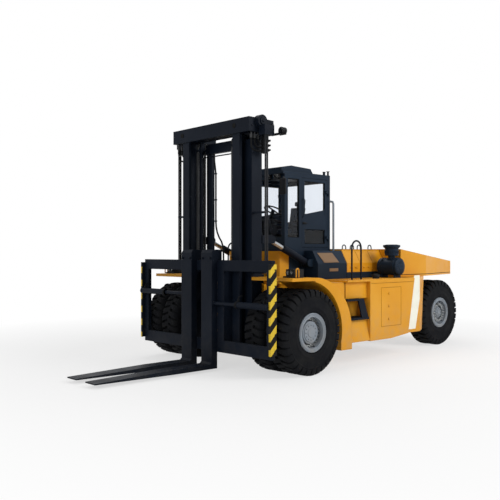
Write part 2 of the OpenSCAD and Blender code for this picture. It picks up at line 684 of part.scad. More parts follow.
module mast_outer() color(black) from_axle() {
    both_sides() {
        block([mast_back, mast_back + outer_depth], [outer_y - upright_web, outer_y],
            [outer_low_z, outer_top_z]);
        for (x = [mast_back, mast_back + outer_depth - flange_t])
            block([x, x + flange_t], [outer_flange_y, outer_y], [outer_low_z, outer_top_z]);
        difference() {
            union() {
                across(journal_r + 70, [ear_y[0], ear_y[1]], 0, axle_z);
                block([0, mast_back + 1], ear_y, [axle_z - 230, axle_z + 230]);
            }
            across(journal_r + run_gap, [ear_y[0] - 1, ear_y[1] + 1], 0, axle_z);
        }
        for (y = [tilt_y - lug_gap - lug_t, tilt_y + lug_gap]) {
            block([tilt_eye_x, mast_back + 1], [y, y + lug_t],
                [tilt_eye_z - tilt_eye_r, tilt_eye_z + tilt_eye_r]);
            across(tilt_eye_r, [y, y + lug_t], tilt_eye_x, tilt_eye_z);
        }
        across(tilt_pin_r, [tilt_y - lug_gap - lug_t, tilt_y + lug_gap + lug_t], tilt_eye_x, tilt_eye_z);
        block([lift_x - lift_barrel_r, mast_back + 1], [lift_y - 95, outer_flange_y + 60],
            [lift_low_z - 40, lift_low_z]);
        block([chain_anchor_x, chain_anchor_x + 150], chain_y, [fixed_chain_low - 50, fixed_chain_low]);
        for (z = [hose_low_z, hose_mid_z])
            block([hose_x - 25, hose_x + 25], [outer_y - 1, hose_y - hose_r - 1], [z, z + 40]);
    }
    for (z = cross_zs) block(cross_x, [-outer_y, outer_y], z);
}
module lift_barrels() color(black) from_axle() both_sides() difference() {
    upright_post(lift_barrel_r, lift_x, lift_y, [lift_low_z, lift_barrel_top]);
    upright_post(lift_rod_r + run_gap, lift_x, lift_y, [lift_low_z + 60, lift_barrel_top + 1]);
}
module fixed_hoses() color(tyre_black) from_axle() both_sides() {
    upright_post(hose_r, hose_x, hose_y, [hose_low_z, head_low_z - 190]);
    for (z = [hose_low_z, hose_mid_z])
        block([hose_x - 25, hose_x + 25], [hose_y - hose_r - 1, hose_y], [z, z + 40]);
}
rear_chain_x = [sheave_x - sheave_r - chain_t / 2, sheave_x - sheave_r + chain_t / 2];
front_chain_x = [sheave_x + sheave_r - chain_t / 2, sheave_x + sheave_r + chain_t / 2];
chain_mid_y = (chain_y[0] + chain_y[1]) / 2;
fixed_chain_top = sheave_z - sheave_r - 30;
module fixed_chains() color(grey) from_axle() both_sides()
    block(rear_chain_x, [chain_mid_y + chain_gap / 2, chain_y[1]], [fixed_chain_low, fixed_chain_top]);

// Inner mast

head_x = [90, 750];
bump_x = 467;
bump_r = 120;
bump_z = mast_top_z - 66;
module mast_inner() color(black) from_axle() {
    both_sides() {
        block([inner_back, inner_front], [inner_web_y, inner_web_y + upright_web], [inner_low_z, head_low_z]);
        for (x = [inner_back, inner_front - heavy_flange])
            block([x, x + heavy_flange], inner_y, [inner_low_z, head_low_z]);
        block([lift_x - lift_barrel_r, head_x[1] - 1], [lift_y - 80, lift_y + 80],
            [head_low_z - 1, head_low_z + 120]);
        side_profile([head_w / 2 - 180, head_w / 2], [
            [head_x[0], mast_top_z - 96], [head_x[0], mast_top_z - 10], [head_x[0] + 210, mast_top_z],
            [head_x[1] - 1, mast_top_z], [head_x[1] - 1, head_low_z], [head_x[0] + 240, head_low_z]
        ]);
        across(bump_r, [head_w / 2 - 40, head_w / 2 + 90], bump_x, bump_z);
        block([260, hose_x + 40], [head_w / 2 + 20, hose_y + 25], [head_low_z - 60, mast_top_z - 140]);
        for (y = [chain_y[0] - 25, chain_y[1] + 5])
            block([sheave_x - 45, sheave_x + 45], [y, y + 20], [sheave_z - 45, head_low_z + 10]);
        across(sheave_r - chain_t / 2 - seat_gap, [chain_y[0] + 4, chain_y[1] - 4], sheave_x, sheave_z);
        across(30, [chain_y[0] - 30, chain_y[1] + 30], sheave_x, sheave_z);
    }
    block([head_x[1] - 160, head_x[1]], [-head_w / 2, head_w / 2], [head_low_z, mast_top_z]);
    block([sheave_x - 60, head_x[1] - 1], [-outer_flange_y, outer_flange_y], [head_low_z, head_low_z + 60]);
    for (z = inner_cross_zs) block(inner_cross_x, [-inner_web_y - 10, inner_web_y + 10], z);
}
module lift_rods() color(grey) from_axle() both_sides()
    upright_post(lift_rod_r, lift_x, lift_y, [lift_low_z + 130, head_low_z - 1]);
module front_chains() color(grey) from_axle() both_sides()
    block(front_chain_x, chain_y, [carriage_anchor_z + 60, sheave_z]);
moving_chain_low = fixed_chain_top - lift - 60;
module moving_chains() color(grey) from_axle() both_sides() {
    block(rear_chain_x, [chain_y[0], chain_mid_y - chain_gap / 2], [moving_chain_low, sheave_z]);
    translate([sheave_x, chain_y[0], sheave_z]) rotate([-90, 0, 0]) intersection() {
        difference() {
            cylinder(r = sheave_r + chain_t / 2, h = chain_y[1] - chain_y[0], $fn = round_fn);
            translate([0, 0, -1]) cylinder(r = sheave_r - chain_t / 2, h = 100, $fn = round_fn);
        }
        translate([-200, -200, -1]) cube([400, 200, 100]);
    }
}
module moving_hoses() color(tyre_black) from_axle() both_sides()
    upright_post(hose_r, hose_x - hose_gap, hose_y, [hose_low_z + 100, head_low_z - 60]);
lamp_arm_z = mast_top_z - 310;
lamp_arm_x = [120, 160];
lamp_arm_len = 303;
work_lamp_r = 70;
module mast_lamps() color(black) from_axle() both_sides() {
    block(lamp_arm_x, [head_w / 2, head_w / 2 + 40], [lamp_arm_z, mast_top_z - 80]);
    block(lamp_arm_x, [head_w / 2, head_w / 2 + lamp_arm_len], [lamp_arm_z, lamp_arm_z + 40]);
    along_x(work_lamp_r, [lamp_arm_x[0] - 25, lamp_arm_x[1] + 25], head_w / 2 + lamp_arm_len,
        lamp_arm_z + 64);
}

// Carriage and forks

bar_low_z = 370;
bar_hs = [230, 205];
carriage_front = carriage_x + bar_t;
module carriage() color(black) from_axle() {
    for (z = [[bar_low_z, bar_low_z + bar_hs[0]], [bar_top_z - bar_hs[1], bar_top_z]])
        block([carriage_x, carriage_front], [-carriage_w / 2 + side_t, carriage_w / 2 - side_t], z);
    both_sides() {
        block([roller_x - 60, carriage_x + 1], plate_y, [bar_low_z + 60, bar_top_z - bar_hs[1]]);
        block([carriage_x - 60, carriage_front], [plate_y[0] - 120, plate_y[1]],
            [bar_low_z + 1, bar_top_z - bar_hs[1] + 1]);
        for (z = roller_zs) across(roller_r, [plate_y[1] - 1, inner_web_y - 5], roller_x, z);
        block([front_chain_x[0] - 20, roller_x + 200], [chain_y[0], plate_y[0] + 1],
            [carriage_anchor_z, carriage_anchor_z + 60]);
        block([carriage_x, carriage_front], [carriage_w / 2 - side_t - 130, carriage_w / 2 - side_t],
            [bar_low_z + 1, bar_top_z - 1]);
    }
}
module carriage_sides() color(yellow) from_axle() both_sides()
    block([carriage_x, carriage_x + side_depth], [carriage_w / 2 - side_t, carriage_w / 2],
        [bar_low_z + 80, bar_top_z - 65]);
module positioners() color(black) from_axle() for (i = [0, 1]) on_side(i == 0 ? 1 : -1) difference() {
    union() {
        across(positioner_r, positioner_y, positioner_x, positioner_zs[i]);
        block([carriage_front, positioner_x], [positioner_y[1] - 130, positioner_y[1]],
            [positioner_zs[i] - 55, positioner_zs[i] + 55]);
    }
    across(positioner_rod_r + run_gap, [positioner_y[0] - 1, positioner_y[1] - 10], positioner_x,
        positioner_zs[i]);
}
hook_t = 30;
blade_t = 85;
tip_t = 22;
fork_top_z = bar_top_z + 205;
module fork(s) color(black) from_axle() on_side(s) {
    side_profile([fork_y - fork_w / 2, fork_y + fork_w / 2], [
        [fork_x, fork_low_z], [fork_x + fork_t + 900, fork_low_z], [tip_x, fork_low_z + 20],
        [tip_x, fork_low_z + 20 + tip_t], [fork_x + fork_t + 900, fork_low_z + blade_t],
        [fork_x + fork_t + 40, fork_low_z + blade_t], [fork_x + fork_t, fork_low_z + blade_t + 40],
        [fork_x + fork_t, fork_top_z - 60], [fork_x + fork_t - 40, fork_top_z],
        [carriage_x - hook_t - 6, fork_top_z],
        [carriage_x - hook_t - 6, bar_top_z - 70], [carriage_x - 6, bar_top_z - 70],
        [carriage_x - 6, bar_top_z + seat_gap], [fork_x, bar_top_z + seat_gap]
    ]);
    across(positioner_rod_r, [fork_y + fork_w / 2 - 1, positioner_rod_end], positioner_x,
        positioner_zs[s > 0 ? 0 : 1]);
}

// Tilt cylinders

module along_tilt() translate([tilt_pin_x, 0, tilt_pin_z]) rotate([0, -tilt_angle, 0]) children();
module tilt_tube(r, x) translate([x[0], tilt_y, 0]) rotate([0, 90, 0])
    cylinder(r = r, h = x[1] - x[0], $fn = round_fn);
module tilt_barrels() color(black) from_axle() both_sides() along_tilt() difference() {
    union() {
        tilt_tube(tilt_barrel_r, [60, tilt_barrel_len]);
        translate([0, tilt_y - tilt_eye_half, 0]) rotate([-90, 0, 0])
            cylinder(r = tilt_eye_r - 8, h = 2 * tilt_eye_half, $fn = round_fn);
        translate([0, tilt_y - tilt_eye_half, -50]) cube([80, 2 * tilt_eye_half, 100]);
    }
    translate([0, tilt_y - tilt_barrel_r, 0]) rotate([-90, 0, 0])
        cylinder(r = tilt_pin_r + run_gap, h = 2 * tilt_barrel_r, $fn = round_fn);
    tilt_tube(tilt_rod_r + run_gap, [140, tilt_barrel_len + 1]);
}
eye_play = 9;
module tilt_rods() color(grey) from_axle() both_sides() along_tilt() difference() {
    union() {
        tilt_tube(tilt_rod_r, [470, tilt_len - 60]);
        translate([tilt_len, tilt_y - tilt_eye_half, 0]) rotate([-90, 0, 0])
            cylinder(r = tilt_eye_r - 8, h = 2 * tilt_eye_half, $fn = round_fn);
    }
    translate([tilt_len, tilt_y - tilt_barrel_r, 0]) rotate([-90, 0, 0])
        cylinder(r = tilt_pin_r + eye_play, h = 2 * tilt_barrel_r, $fn = round_fn);
}

frame();
front_axle();
steer_axle();
side_tank(1);  // side_tank_left
side_tank(-1);  // side_tank_right
steps();
handrails();
fender(1);  // fender_left
fender(-1);  // fender_right
headlamps();
front_cowl();
cab_base();
hood_side(1);  // hood_side_left
hood_side(-1);  // hood_side_right
engine();
counterweight();
pillars();
air_filter();
cab_frame();
cab_roof();
cab_glass();
seat();
console();
hood_lid();
lid_handles();
door(1);  // door_left
door_glass(1);  // door_glass_left
door(-1);  // door_right
door_glass(-1);  // door_glass_right
mast_outer();
lift_barrels();
fixed_hoses();
fixed_chains();
mast_inner();
lift_rods();
front_chains();
moving_chains();
moving_hoses();
mast_lamps();
carriage();
carriage_sides();
positioners();
fork(1);  // fork_left
fork(-1);  // fork_right
tilt_barrels();
tilt_rods();
front_rims(1);  // front_rims_left
front_rims(-1);  // front_rims_right
front_tyres(1);  // front_tyres_left
front_tyres(-1);  // front_tyres_right
knuckle(1);  // knuckle_left
knuckle(-1);  // knuckle_right
rear_rim(1);  // rear_rim_left
rear_rim(-1);  // rear_rim_right
rear_tyre(1);  // rear_tyre_left
rear_tyre(-1);  // rear_tyre_right
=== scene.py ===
# %% [markdown]
# # A heavy forklift truck
# This lesson dresses a forklift truck that was drawn as plain solids. The solids already have the right
# sizes, joints and places, so they are loaded as a fixed frame. Each step then adds what a solid can't
# show: paint, rubber, tread, chain links, bolts, seams and padding.

# %% Load the solids
import json
import math

import bmesh
import bpy
from mathutils import Matrix, Vector

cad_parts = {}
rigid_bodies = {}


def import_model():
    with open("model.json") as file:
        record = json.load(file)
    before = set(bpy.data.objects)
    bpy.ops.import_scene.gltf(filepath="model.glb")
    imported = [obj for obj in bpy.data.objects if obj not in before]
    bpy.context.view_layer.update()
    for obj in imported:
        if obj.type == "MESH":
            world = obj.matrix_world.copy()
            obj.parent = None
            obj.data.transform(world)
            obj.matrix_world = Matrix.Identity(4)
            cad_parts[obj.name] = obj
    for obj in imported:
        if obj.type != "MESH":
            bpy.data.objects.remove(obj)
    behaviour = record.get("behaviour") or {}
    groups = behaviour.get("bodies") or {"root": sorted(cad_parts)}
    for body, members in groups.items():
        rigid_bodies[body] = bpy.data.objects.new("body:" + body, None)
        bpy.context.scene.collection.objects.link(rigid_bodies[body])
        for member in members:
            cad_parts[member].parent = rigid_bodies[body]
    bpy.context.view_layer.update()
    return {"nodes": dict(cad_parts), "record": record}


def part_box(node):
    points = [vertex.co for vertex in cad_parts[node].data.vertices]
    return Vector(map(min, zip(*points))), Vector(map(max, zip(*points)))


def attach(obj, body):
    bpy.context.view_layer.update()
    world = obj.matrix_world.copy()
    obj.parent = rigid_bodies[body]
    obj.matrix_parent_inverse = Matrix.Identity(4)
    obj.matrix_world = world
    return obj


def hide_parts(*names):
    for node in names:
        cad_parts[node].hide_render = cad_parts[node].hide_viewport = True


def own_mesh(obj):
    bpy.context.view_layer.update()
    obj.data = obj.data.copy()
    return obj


for start_object in list(bpy.data.objects):
    bpy.data.objects.remove(start_object)
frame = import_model()
nodes = frame["nodes"]
scene = bpy.context.scene

# %% [markdown]
# ## Helpers for node trees
# Materials, the world and the repeats are trees of nodes. They could be wired by hand in the editor, but a
# script can be read and run again. The moves that come back all the time are written once here: add a node,
# feed a socket with a link or a plain value, calculate, spread a range and mix two colours. Patterns lie on
# Object coordinates, which stay with a piece when it moves.


# %% Nodes and links
def add_node(tree, kind, **settings):
    """A node of that kind with its plain settings."""
    made = tree.nodes.new(kind)
    for key, value in settings.items():
        setattr(made, key, value)
    return made


def feed(tree, value, socket):
    """Links another node's output to a socket, or writes a plain value into it."""
    if isinstance(value, bpy.types.NodeSocket):
        tree.links.new(value, socket)
    else:
        socket.default_value = value


# %% Calculations
def calculated(tree, operation, *values):
    """The result of a math node on outputs or plain numbers."""
    made = add_node(tree, "ShaderNodeMath", operation=operation)
    for value, socket in zip(values, made.inputs):
        feed(tree, value, socket)
    return made.outputs[0]


def product(tree, first, *others):
    """All values multiplied."""
    for other in others:
        first = calculated(tree, "MULTIPLY", first, other)
    return first


def ranged(tree, value, low, high, to_low=0.0, to_high=1.0):
    """value, spread from low..high to to_low..to_high."""
    spread = add_node(tree, "ShaderNodeMapRange")
    ends = {"From Min": low, "From Max": high, "To Min": to_low, "To Max": to_high, "Value": value}
    for label, end in ends.items():
        feed(tree, end, spread.inputs[label])
    return spread.outputs["Result"]


def mixed(tree, mask, under, over):
    """Two colours mixed by a mask. Sockets 6 and 7 of a mix node are its two colours."""
    blend = add_node(tree, "ShaderNodeMix", data_type="RGBA")
    for value, index in ((mask, 0), (under, 6), (over, 7)):
        feed(tree, value, blend.inputs[index])
    return blend.outputs[2]


# %% Patterns
def own_place(tree):
    """A piece's own coordinates."""
    return add_node(tree, "ShaderNodeTexCoord").outputs["Object"]


def noise_of(tree, scale, detail):
    """Noise on a piece's own coordinates. scale is a number or the output that sets it."""
    noise = add_node(tree, "ShaderNodeTexNoise")
    for label, value in (("Scale", scale), ("Detail", detail), ("Vector", own_place(tree))):
        feed(tree, value, noise.inputs[label])
    return noise.outputs["Fac"]


def bumped(tree, height, strength, distance):
    """A bump node on a height."""
    bump = add_node(tree, "ShaderNodeBump")
    for label, value in (("Strength", strength), ("Distance", distance), ("Height", height)):
        feed(tree, value, bump.inputs[label])
    return bump


print("helpers for node trees are ready")

# %% [markdown]
# ## Camera, light and floor
# The camera stands ahead of the truck's left corner at about eye height. It looks level, as the
# photographer did, so that upright lines stay upright. It could be turned to face a target, but a plain
# angle keeps the horizon straight. The light is a large soft lamp on the truck's left, a weaker one ahead
# of it, one above and a pale world. The floor turns white with distance, so that it has no horizon.

# %% Camera
CAMERA_PLACE = Vector((11.164, 10.677, 2.305))
CAMERA_TURN = 46.90
LENS_MM = 49.515
SENSOR_MM = 36.0
SHIFT_UP = 0.0047

camera_data = bpy.data.cameras.new("photo_camera")
camera_data.lens = LENS_MM
camera_data.sensor_width = SENSOR_MM
camera_data.shift_y = SHIFT_UP
camera = bpy.data.objects.new("photo_camera", camera_data)
camera.location = CAMERA_PLACE
camera.rotation_euler = (math.radians(90), 0, math.radians(90 + CAMERA_TURN))
scene.collection.objects.link(camera)
scene.camera = camera
scene.view_settings.view_transform = "Standard"
print("camera at", tuple(round(v, 2) for v in camera.location))

# %% Lamps
TRUCK_MIDDLE = Vector((0, 0, 1.8))
# name, place, size in metres and watts
LAMPS = (
    ("left_lamp", (-5, 15, 10), 8, 1600),
    ("front_lamp", (15, 3, 7), 7, 480),
    ("top_lamp", (-2, -4, 15), 10, 600),
)
for name, place, size, watts in LAMPS:
    lamp_data = bpy.data.lights.new(name, "AREA")
    lamp_data.size = size
    lamp_data.energy = watts
    lamp = bpy.data.objects.new(name, lamp_data)
    lamp.location = place
    lamp.rotation_euler = (TRUCK_MIDDLE - Vector(place)).to_track_quat("-Z", "Y").to_euler()
    scene.collection.objects.link(lamp)
print(len(LAMPS), "soft lamps")


# %% World
def background_rays(tree):
    """One for the rays that show the background: from the camera, off shiny things and through glass."""
    rays = add_node(tree, "ShaderNodeLightPath").outputs
    seen = calculated(tree, "MAXIMUM", rays["Is Camera Ray"], rays["Is Glossy Ray"])
    return calculated(tree, "MAXIMUM", seen, rays["Is Transmission Ray"])


SKY_LIGHT = 0.34
SKY_SEEN = 1.0
world = bpy.data.worlds.new("pale_studio")
scene.world = world
world.use_nodes = True
sky_tree = world.node_tree
sky = sky_tree.nodes["Background"]
sky.inputs["Color"].default_value = (1, 1, 1, 1)
strength = ranged(sky_tree, background_rays(sky_tree), 0, 1, SKY_LIGHT, SKY_SEEN)
feed(sky_tree, strength, sky.inputs["Strength"])
print("world", world.name)

# %% Floor
FLOOR_HALF = 60.0
NEAR_FLOOR, FAR_FLOOR = 5.0, 11.0
NEAR_WHITE = 0.62
floor_mesh = bpy.data.meshes.new("floor")
corners = [(x * FLOOR_HALF, y * FLOOR_HALF, 0) for x, y in ((-1, -1), (1, -1), (1, 1), (-1, 1))]
floor_mesh.from_pydata(corners, [], [(0, 1, 2, 3)])
floor = bpy.data.objects.new("floor", floor_mesh)
scene.collection.objects.link(floor)
floor_paint = bpy.data.materials.new("pale_floor")
floor_paint.use_nodes = True
floor_tree = floor_paint.node_tree
matt = floor_tree.nodes["Principled BSDF"]
matt.inputs["Base Color"].default_value = (0.88, 0.88, 0.88, 1)
matt.inputs["Roughness"].default_value = 0.9
white = add_node(floor_tree, "ShaderNodeEmission")
distance = add_node(floor_tree, "ShaderNodeVectorMath", operation="LENGTH")
feed(floor_tree, own_place(floor_tree), distance.inputs[0])
whiter = ranged(floor_tree, distance.outputs["Value"], NEAR_FLOOR, FAR_FLOOR, NEAR_WHITE)
seen_white = product(floor_tree, whiter, background_rays(floor_tree))
either = add_node(floor_tree, "ShaderNodeMixShader")
for value, socket in zip((seen_white, matt.outputs[0], white.outputs[0]), either.inputs):
    feed(floor_tree, value, socket)
feed(floor_tree, either.outputs[0], floor_tree.nodes["Material Output"].inputs["Surface"])
floor_mesh.materials.append(floor_paint)
print("floor", 2 * FLOOR_HALF, "m across")

# %% [markdown]
# ## Shared finishes
# A working truck is not one flat colour. Paint fades in broad patches, dust settles low down, and edges rub
# bright. Each effect is a shader node group with named inputs, so that every material can use it with its
# own values. The edge mask compares the true normal with the normal of a slightly rounded copy of the
# surface: the two differ only near an edge.

# %% Empty groups
SURFACE = {"Color": "NodeSocketColor", "Roughness": "NodeSocketFloat", "Normal": "NodeSocketVector"}


def shader_group(name, inputs, outputs):
    """A shader group with named inputs and their defaults, where a tuple is a colour, and named outputs."""
    tree = bpy.data.node_groups.new(name, "ShaderNodeTree")
    for label, value in inputs.items():
        kind = "NodeSocketColor" if isinstance(value, tuple) else "NodeSocketFloat"
        tree.interface.new_socket(label, in_out="INPUT", socket_type=kind).default_value = value
    for label, kind in outputs.items():
        tree.interface.new_socket(label, in_out="OUTPUT", socket_type=kind)
    return tree, tree.nodes.new("NodeGroupInput").outputs, tree.nodes.new("NodeGroupOutput").inputs


# %% Group for worn paint
DUST_COLOUR = (0.33, 0.28, 0.21, 1)
DUST_STARTS, DUST_FULL = 1.3, 0.15
WORN_EDGE = 0.012


def make_worn_paint():
    """Paint that fades in patches, gathers dust low down and rubs through at its edges."""
    inputs = {"Paint": (0.8, 0.4, 0.02, 1), "Faded": (0.85, 0.5, 0.1, 1), "Bare": (0.3, 0.3, 0.3, 1)}
    inputs |= {"Wear": 0.4, "Dust": 0.3, "Gloss": 0.35}
    tree, given, out = shader_group("worn paint", inputs, SURFACE)
    patches = ranged(tree, noise_of(tree, 0.9, 4), 0.35, 0.7)
    paint = mixed(tree, patches, given["Paint"], given["Faded"])
    split = add_node(tree, "ShaderNodeSeparateXYZ")
    feed(tree, own_place(tree), split.inputs[0])
    low_down = ranged(tree, split.outputs["Z"], DUST_STARTS, DUST_FULL)
    grit = ranged(tree, noise_of(tree, 6.0, 6), 0.38, 0.62)
    paint = mixed(tree, product(tree, low_down, grit, given["Dust"]), paint, DUST_COLOUR)
    rounded = add_node(tree, "ShaderNodeBevel", samples=4)
    rounded.inputs["Radius"].default_value = WORN_EDGE
    true_normal = add_node(tree, "ShaderNodeNewGeometry").outputs["Normal"]
    agree = add_node(tree, "ShaderNodeVectorMath", operation="DOT_PRODUCT")
    feed(tree, rounded.outputs[0], agree.inputs[0])
    feed(tree, true_normal, agree.inputs[1])
    edge = ranged(tree, agree.outputs["Value"], 0.995, 0.90)
    flecks = ranged(tree, noise_of(tree, 38.0, 5), 0.46, 0.60)
    rubbed = product(tree, edge, flecks, given["Wear"])
    feed(tree, mixed(tree, rubbed, paint, given["Bare"]), out["Color"])
    uneven = ranged(tree, noise_of(tree, 3.0, 5), 0.3, 0.7, -0.06, 0.12)
    feed(tree, calculated(tree, "ADD", given["Gloss"], uneven), out["Roughness"])
    peel = bumped(tree, noise_of(tree, 90.0, 2), 0.05, 0.004)
    feed(tree, rounded.outputs[0], peel.inputs["Normal"])
    feed(tree, peel.outputs[0], out["Normal"])
    return tree


worn_paint = make_worn_paint()
print("group", worn_paint.name, "has", len(worn_paint.nodes), "nodes")


# %% Group for grained rubber, plastic and cast surfaces
def make_grained():
    """A matt surface with fine grain and a paler dusting in its broad patches."""
    inputs = {"Tone": (0.03, 0.03, 0.03, 1), "Dusted": (0.12, 0.11, 0.10, 1)}
    inputs |= {"Dust": 0.4, "Grain size": 120.0, "Roughness": 0.7}
    tree, given, out = shader_group("grained", inputs, SURFACE)
    patches = ranged(tree, noise_of(tree, 4.5, 6), 0.42, 0.68)
    dust = product(tree, patches, given["Dust"])
    feed(tree, mixed(tree, dust, given["Tone"], given["Dusted"]), out["Color"])
    uneven = ranged(tree, noise_of(tree, 14.0, 4), 0.3, 0.7, -0.08, 0.08)
    feed(tree, calculated(tree, "ADD", given["Roughness"], uneven), out["Roughness"])
    grain = bumped(tree, noise_of(tree, given["Grain size"], 3), 0.18, 0.003)
    feed(tree, grain.outputs[0], out["Normal"])
    return tree


grained = make_grained()
print("group", grained.name, "has", len(grained.nodes), "nodes")

# %% [markdown]
# ## The truck's finishes
# Every solid names a slot, such as body yellow or tyre. One material is made for each slot, from the groups
# above, and a few more for small pieces. Colours are written as a painter's chart gives them, from 0 to
# 255, and turned into the linear values that shaders use. A copy of one grey material with other colours
# would be quicker, but paint, rubber, chrome, cloth and glass reflect light in different ways, so each has
# its own values.


# %% Colours and materials
def tone(chart):
    """A chart colour from 0 to 255, as the linear colour that a shader wants."""
    shares = [value / 255 for value in chart]
    return tuple(((s + 0.055) / 1.055) ** 2.4 if s > 0.04045 else s / 12.92 for s in shares) + (1,)


def bare_material(name, shader_values):
    """A material, its tree and its Principled shader with some values set."""
    made = bpy.data.materials.new(name)
    made.use_nodes = True
    shader = made.node_tree.nodes["Principled BSDF"]
    for key, value in shader_values.items():
        shader.inputs[key].default_value = value
    return made, made.node_tree, shader


def material_with(name, group, values, shader_values):
    """A material whose shader takes colour, roughness and normal from a group."""
    made, tree, shader = bare_material(name, shader_values)
    effect = add_node(tree, "ShaderNodeGroup", node_tree=group)
    for key, value in values.items():
        effect.inputs[key].default_value = value
    for output, socket in zip(SURFACE, ("Base Color", "Roughness", "Normal")):
        feed(tree, effect.outputs[output], shader.inputs[socket])
    return made


# %% Kinds of finish
METAL_DULL = 0.6


def painted(name, paint, faded, bare, wear, dust, gloss, shine):
    """Paint with its faded tone and what shows where it is rubbed through."""
    values = {"Paint": tone(paint), "Faded": tone(faded), "Bare": tone(bare)}
    values |= {"Wear": wear, "Dust": dust, "Gloss": gloss}
    return material_with(name, worn_paint, values, {"Specular IOR Level": shine})


def moulded(name, chart, dusted, dust, grain, rough, shine=0.10):
    """Rubber, plastic or a casting, with the tone of its dust."""
    values = {"Tone": tone(chart), "Dusted": tone(dusted), "Dust": dust, "Grain size": grain}
    return material_with(name, grained, values | {"Roughness": rough}, {"Specular IOR Level": shine})


def metal(name, chart, rough):
    """Bare metal with duller patches."""
    dull = tuple(c * METAL_DULL for c in tone(chart)[:3]) + (1,)
    values = {"Tone": tone(chart), "Dusted": dull, "Dust": 0.5, "Roughness": rough}
    return material_with(name, grained, values, {"Metallic": 1.0})


def clear(name, chart, rough, ior):
    """Glass or a clear lens."""
    values = {"Base Color": tone(chart), "Roughness": rough, "Transmission Weight": 1.0, "IOR": ior}
    return bare_material(name, values)[0]


# %% Table of finishes
# kind of finish, its name and the values that this kind takes
FINISHES = (
    (painted, "body_yellow", (214, 146, 18), (221, 157, 42), (120, 92, 60), 0.35, 0.3, 0.34, 0.22),
    (painted, "mast_black", (13, 19, 29), (19, 26, 37), (70, 70, 70), 0.35, 0.03, 0.45, 0.07),
    (painted, "cab_black", (20, 32, 46), (26, 40, 55), (74, 78, 82), 0.25, 0.1, 0.40, 0.10),
    (painted, "rim_silver", (134, 143, 153), (120, 129, 139), (90, 90, 90), 0.4, 0.4, 0.4, 0.35),
    # body yellow darkened: painted shade for the cab base's sloped panel and plate
    (painted, "shaded_yellow_panel", (132, 104, 76), (122, 98, 74), (100, 84, 64), 0.3, 0.2, 0.4, 0.2),
    (painted, "stripes", (15, 15, 15), (22, 22, 21), (110, 104, 90), 0.4, 0.04, 0.45, 0.10),
    (moulded, "engine_grey", (96, 98, 100), (120, 112, 98), 0.5, 60, 0.6),
    (moulded, "lamp", (28, 30, 33), (52, 51, 48), 0.3, 160, 0.5),
    (moulded, "dark_plastic", (29, 31, 35), (46, 46, 46), 0.25, 220, 0.55),
    (moulded, "hose", (19, 20, 22), (34, 34, 34), 0.4, 180, 0.6, 0.06),
    (moulded, "worn_hose", (46, 47, 50), (66, 66, 66), 0.4, 180, 0.6, 0.06),
    (moulded, "tyre", (23, 24, 27), (40, 40, 39), 0.35, 70, 0.82, 0.06),
    (moulded, "seat_cloth", (34, 45, 60), (48, 58, 72), 0.3, 240, 0.85),
    (moulded, "red_lens", (150, 16, 12), (120, 20, 16), 0.2, 90, 0.25),
    (moulded, "pale_strip", (240, 240, 226), (222, 220, 204), 0.3, 300, 0.35),
    # dark seams and gaskets, and painted shade for the insides of holes and slots
    (moulded, "dark_seam_and_shade", (18, 18, 18), (40, 38, 34), 0.3, 90, 0.8),
    (moulded, "seam_yellow", (160, 110, 24), (140, 102, 40), 0.3, 90, 0.7),
    (metal, "steel", (62, 63, 64), 0.48),
    (metal, "chrome_rod", (176, 179, 182), 0.24),
    (metal, "pale_zinc", (196, 198, 198), 0.34),
    (metal, "mirror_face", (225, 230, 235), 0.05),
    (clear, "glass", (242, 245, 249), 0.02, 1.2),
    (clear, "lens_clear", (240, 242, 240), 0.12, 1.45),
)
finish = {row[1]: row[0](*row[1:]) for row in FINISHES}
print("made", len(finish), "finishes")

# %% Diagonal warning bands
BAND_PITCH = 0.285
BAND_YELLOW = tone((224, 190, 60))


def make_bands():
    """A mask of diagonal bands in the truck's own length and height."""
    tree, given, out = shader_group("warning bands", {"Pitch": BAND_PITCH}, {"Mask": "NodeSocketFloat"})
    split = add_node(tree, "ShaderNodeSeparateXYZ")
    feed(tree, own_place(tree), split.inputs[0])
    along = calculated(tree, "ADD", split.outputs["X"], split.outputs["Z"])
    saw = calculated(tree, "FRACT", calculated(tree, "DIVIDE", along, given["Pitch"]))
    feed(tree, calculated(tree, "GREATER_THAN", saw, 0.5), out["Mask"])
    return tree


stripes = finish["stripes"].node_tree
bands = add_node(stripes, "ShaderNodeGroup", node_tree=make_bands())
bands.inputs["Pitch"].default_value = BAND_PITCH
stripe_colour = stripes.nodes["Principled BSDF"].inputs["Base Color"]
black = stripe_colour.links[0].from_socket
feed(stripes, mixed(stripes, bands.outputs["Mask"], black, BAND_YELLOW), stripe_colour)
print("warning bands every", BAND_PITCH, "m")

# %% Woven seat cloth
THREADS = 320.0
cloth_tree = finish["seat_cloth"].node_tree
cloth_shader = cloth_tree.nodes["Principled BSDF"]
cloth_shader.inputs["Sheen Weight"].default_value = 0.15
threads = add_node(cloth_tree, "ShaderNodeTexChecker")
threads.inputs["Scale"].default_value = THREADS
feed(cloth_tree, own_place(cloth_tree), threads.inputs["Vector"])
weave = bumped(cloth_tree, threads.outputs["Fac"], 0.3, 0.002)
feed(cloth_tree, weave.outputs[0], cloth_shader.inputs["Normal"])
print("cloth with", THREADS, "threads to the metre")

# %% Finishes on the solids
OTHER_FINISH = {"fixed_hoses": "worn_hose", "moving_hoses": "worn_hose"}
OTHER_FINISH |= {"steps": "mast_black", "handrails": "mast_black"}
slot_of = {part["node"]: part["material_slot"] for part in frame["record"]["subparts"]}
for name, solid in nodes.items():
    for material_slot in solid.material_slots:
        material_slot.material = finish[OTHER_FINISH.get(name, slot_of[name])]
print("finished", len(slot_of), "solids")

# %% [markdown]
# ## Tools for new pieces
# Most added pieces are small: blocks, rods, bent tubes and turned rings. They could be primitives stacked
# in the scene, but a mesh that is built in place keeps every piece at the origin, as the solids are, so
# that patterns on Object coordinates don't slide. Drivers and mechanics measure a forklift from its front
# axle, and so do the places here.

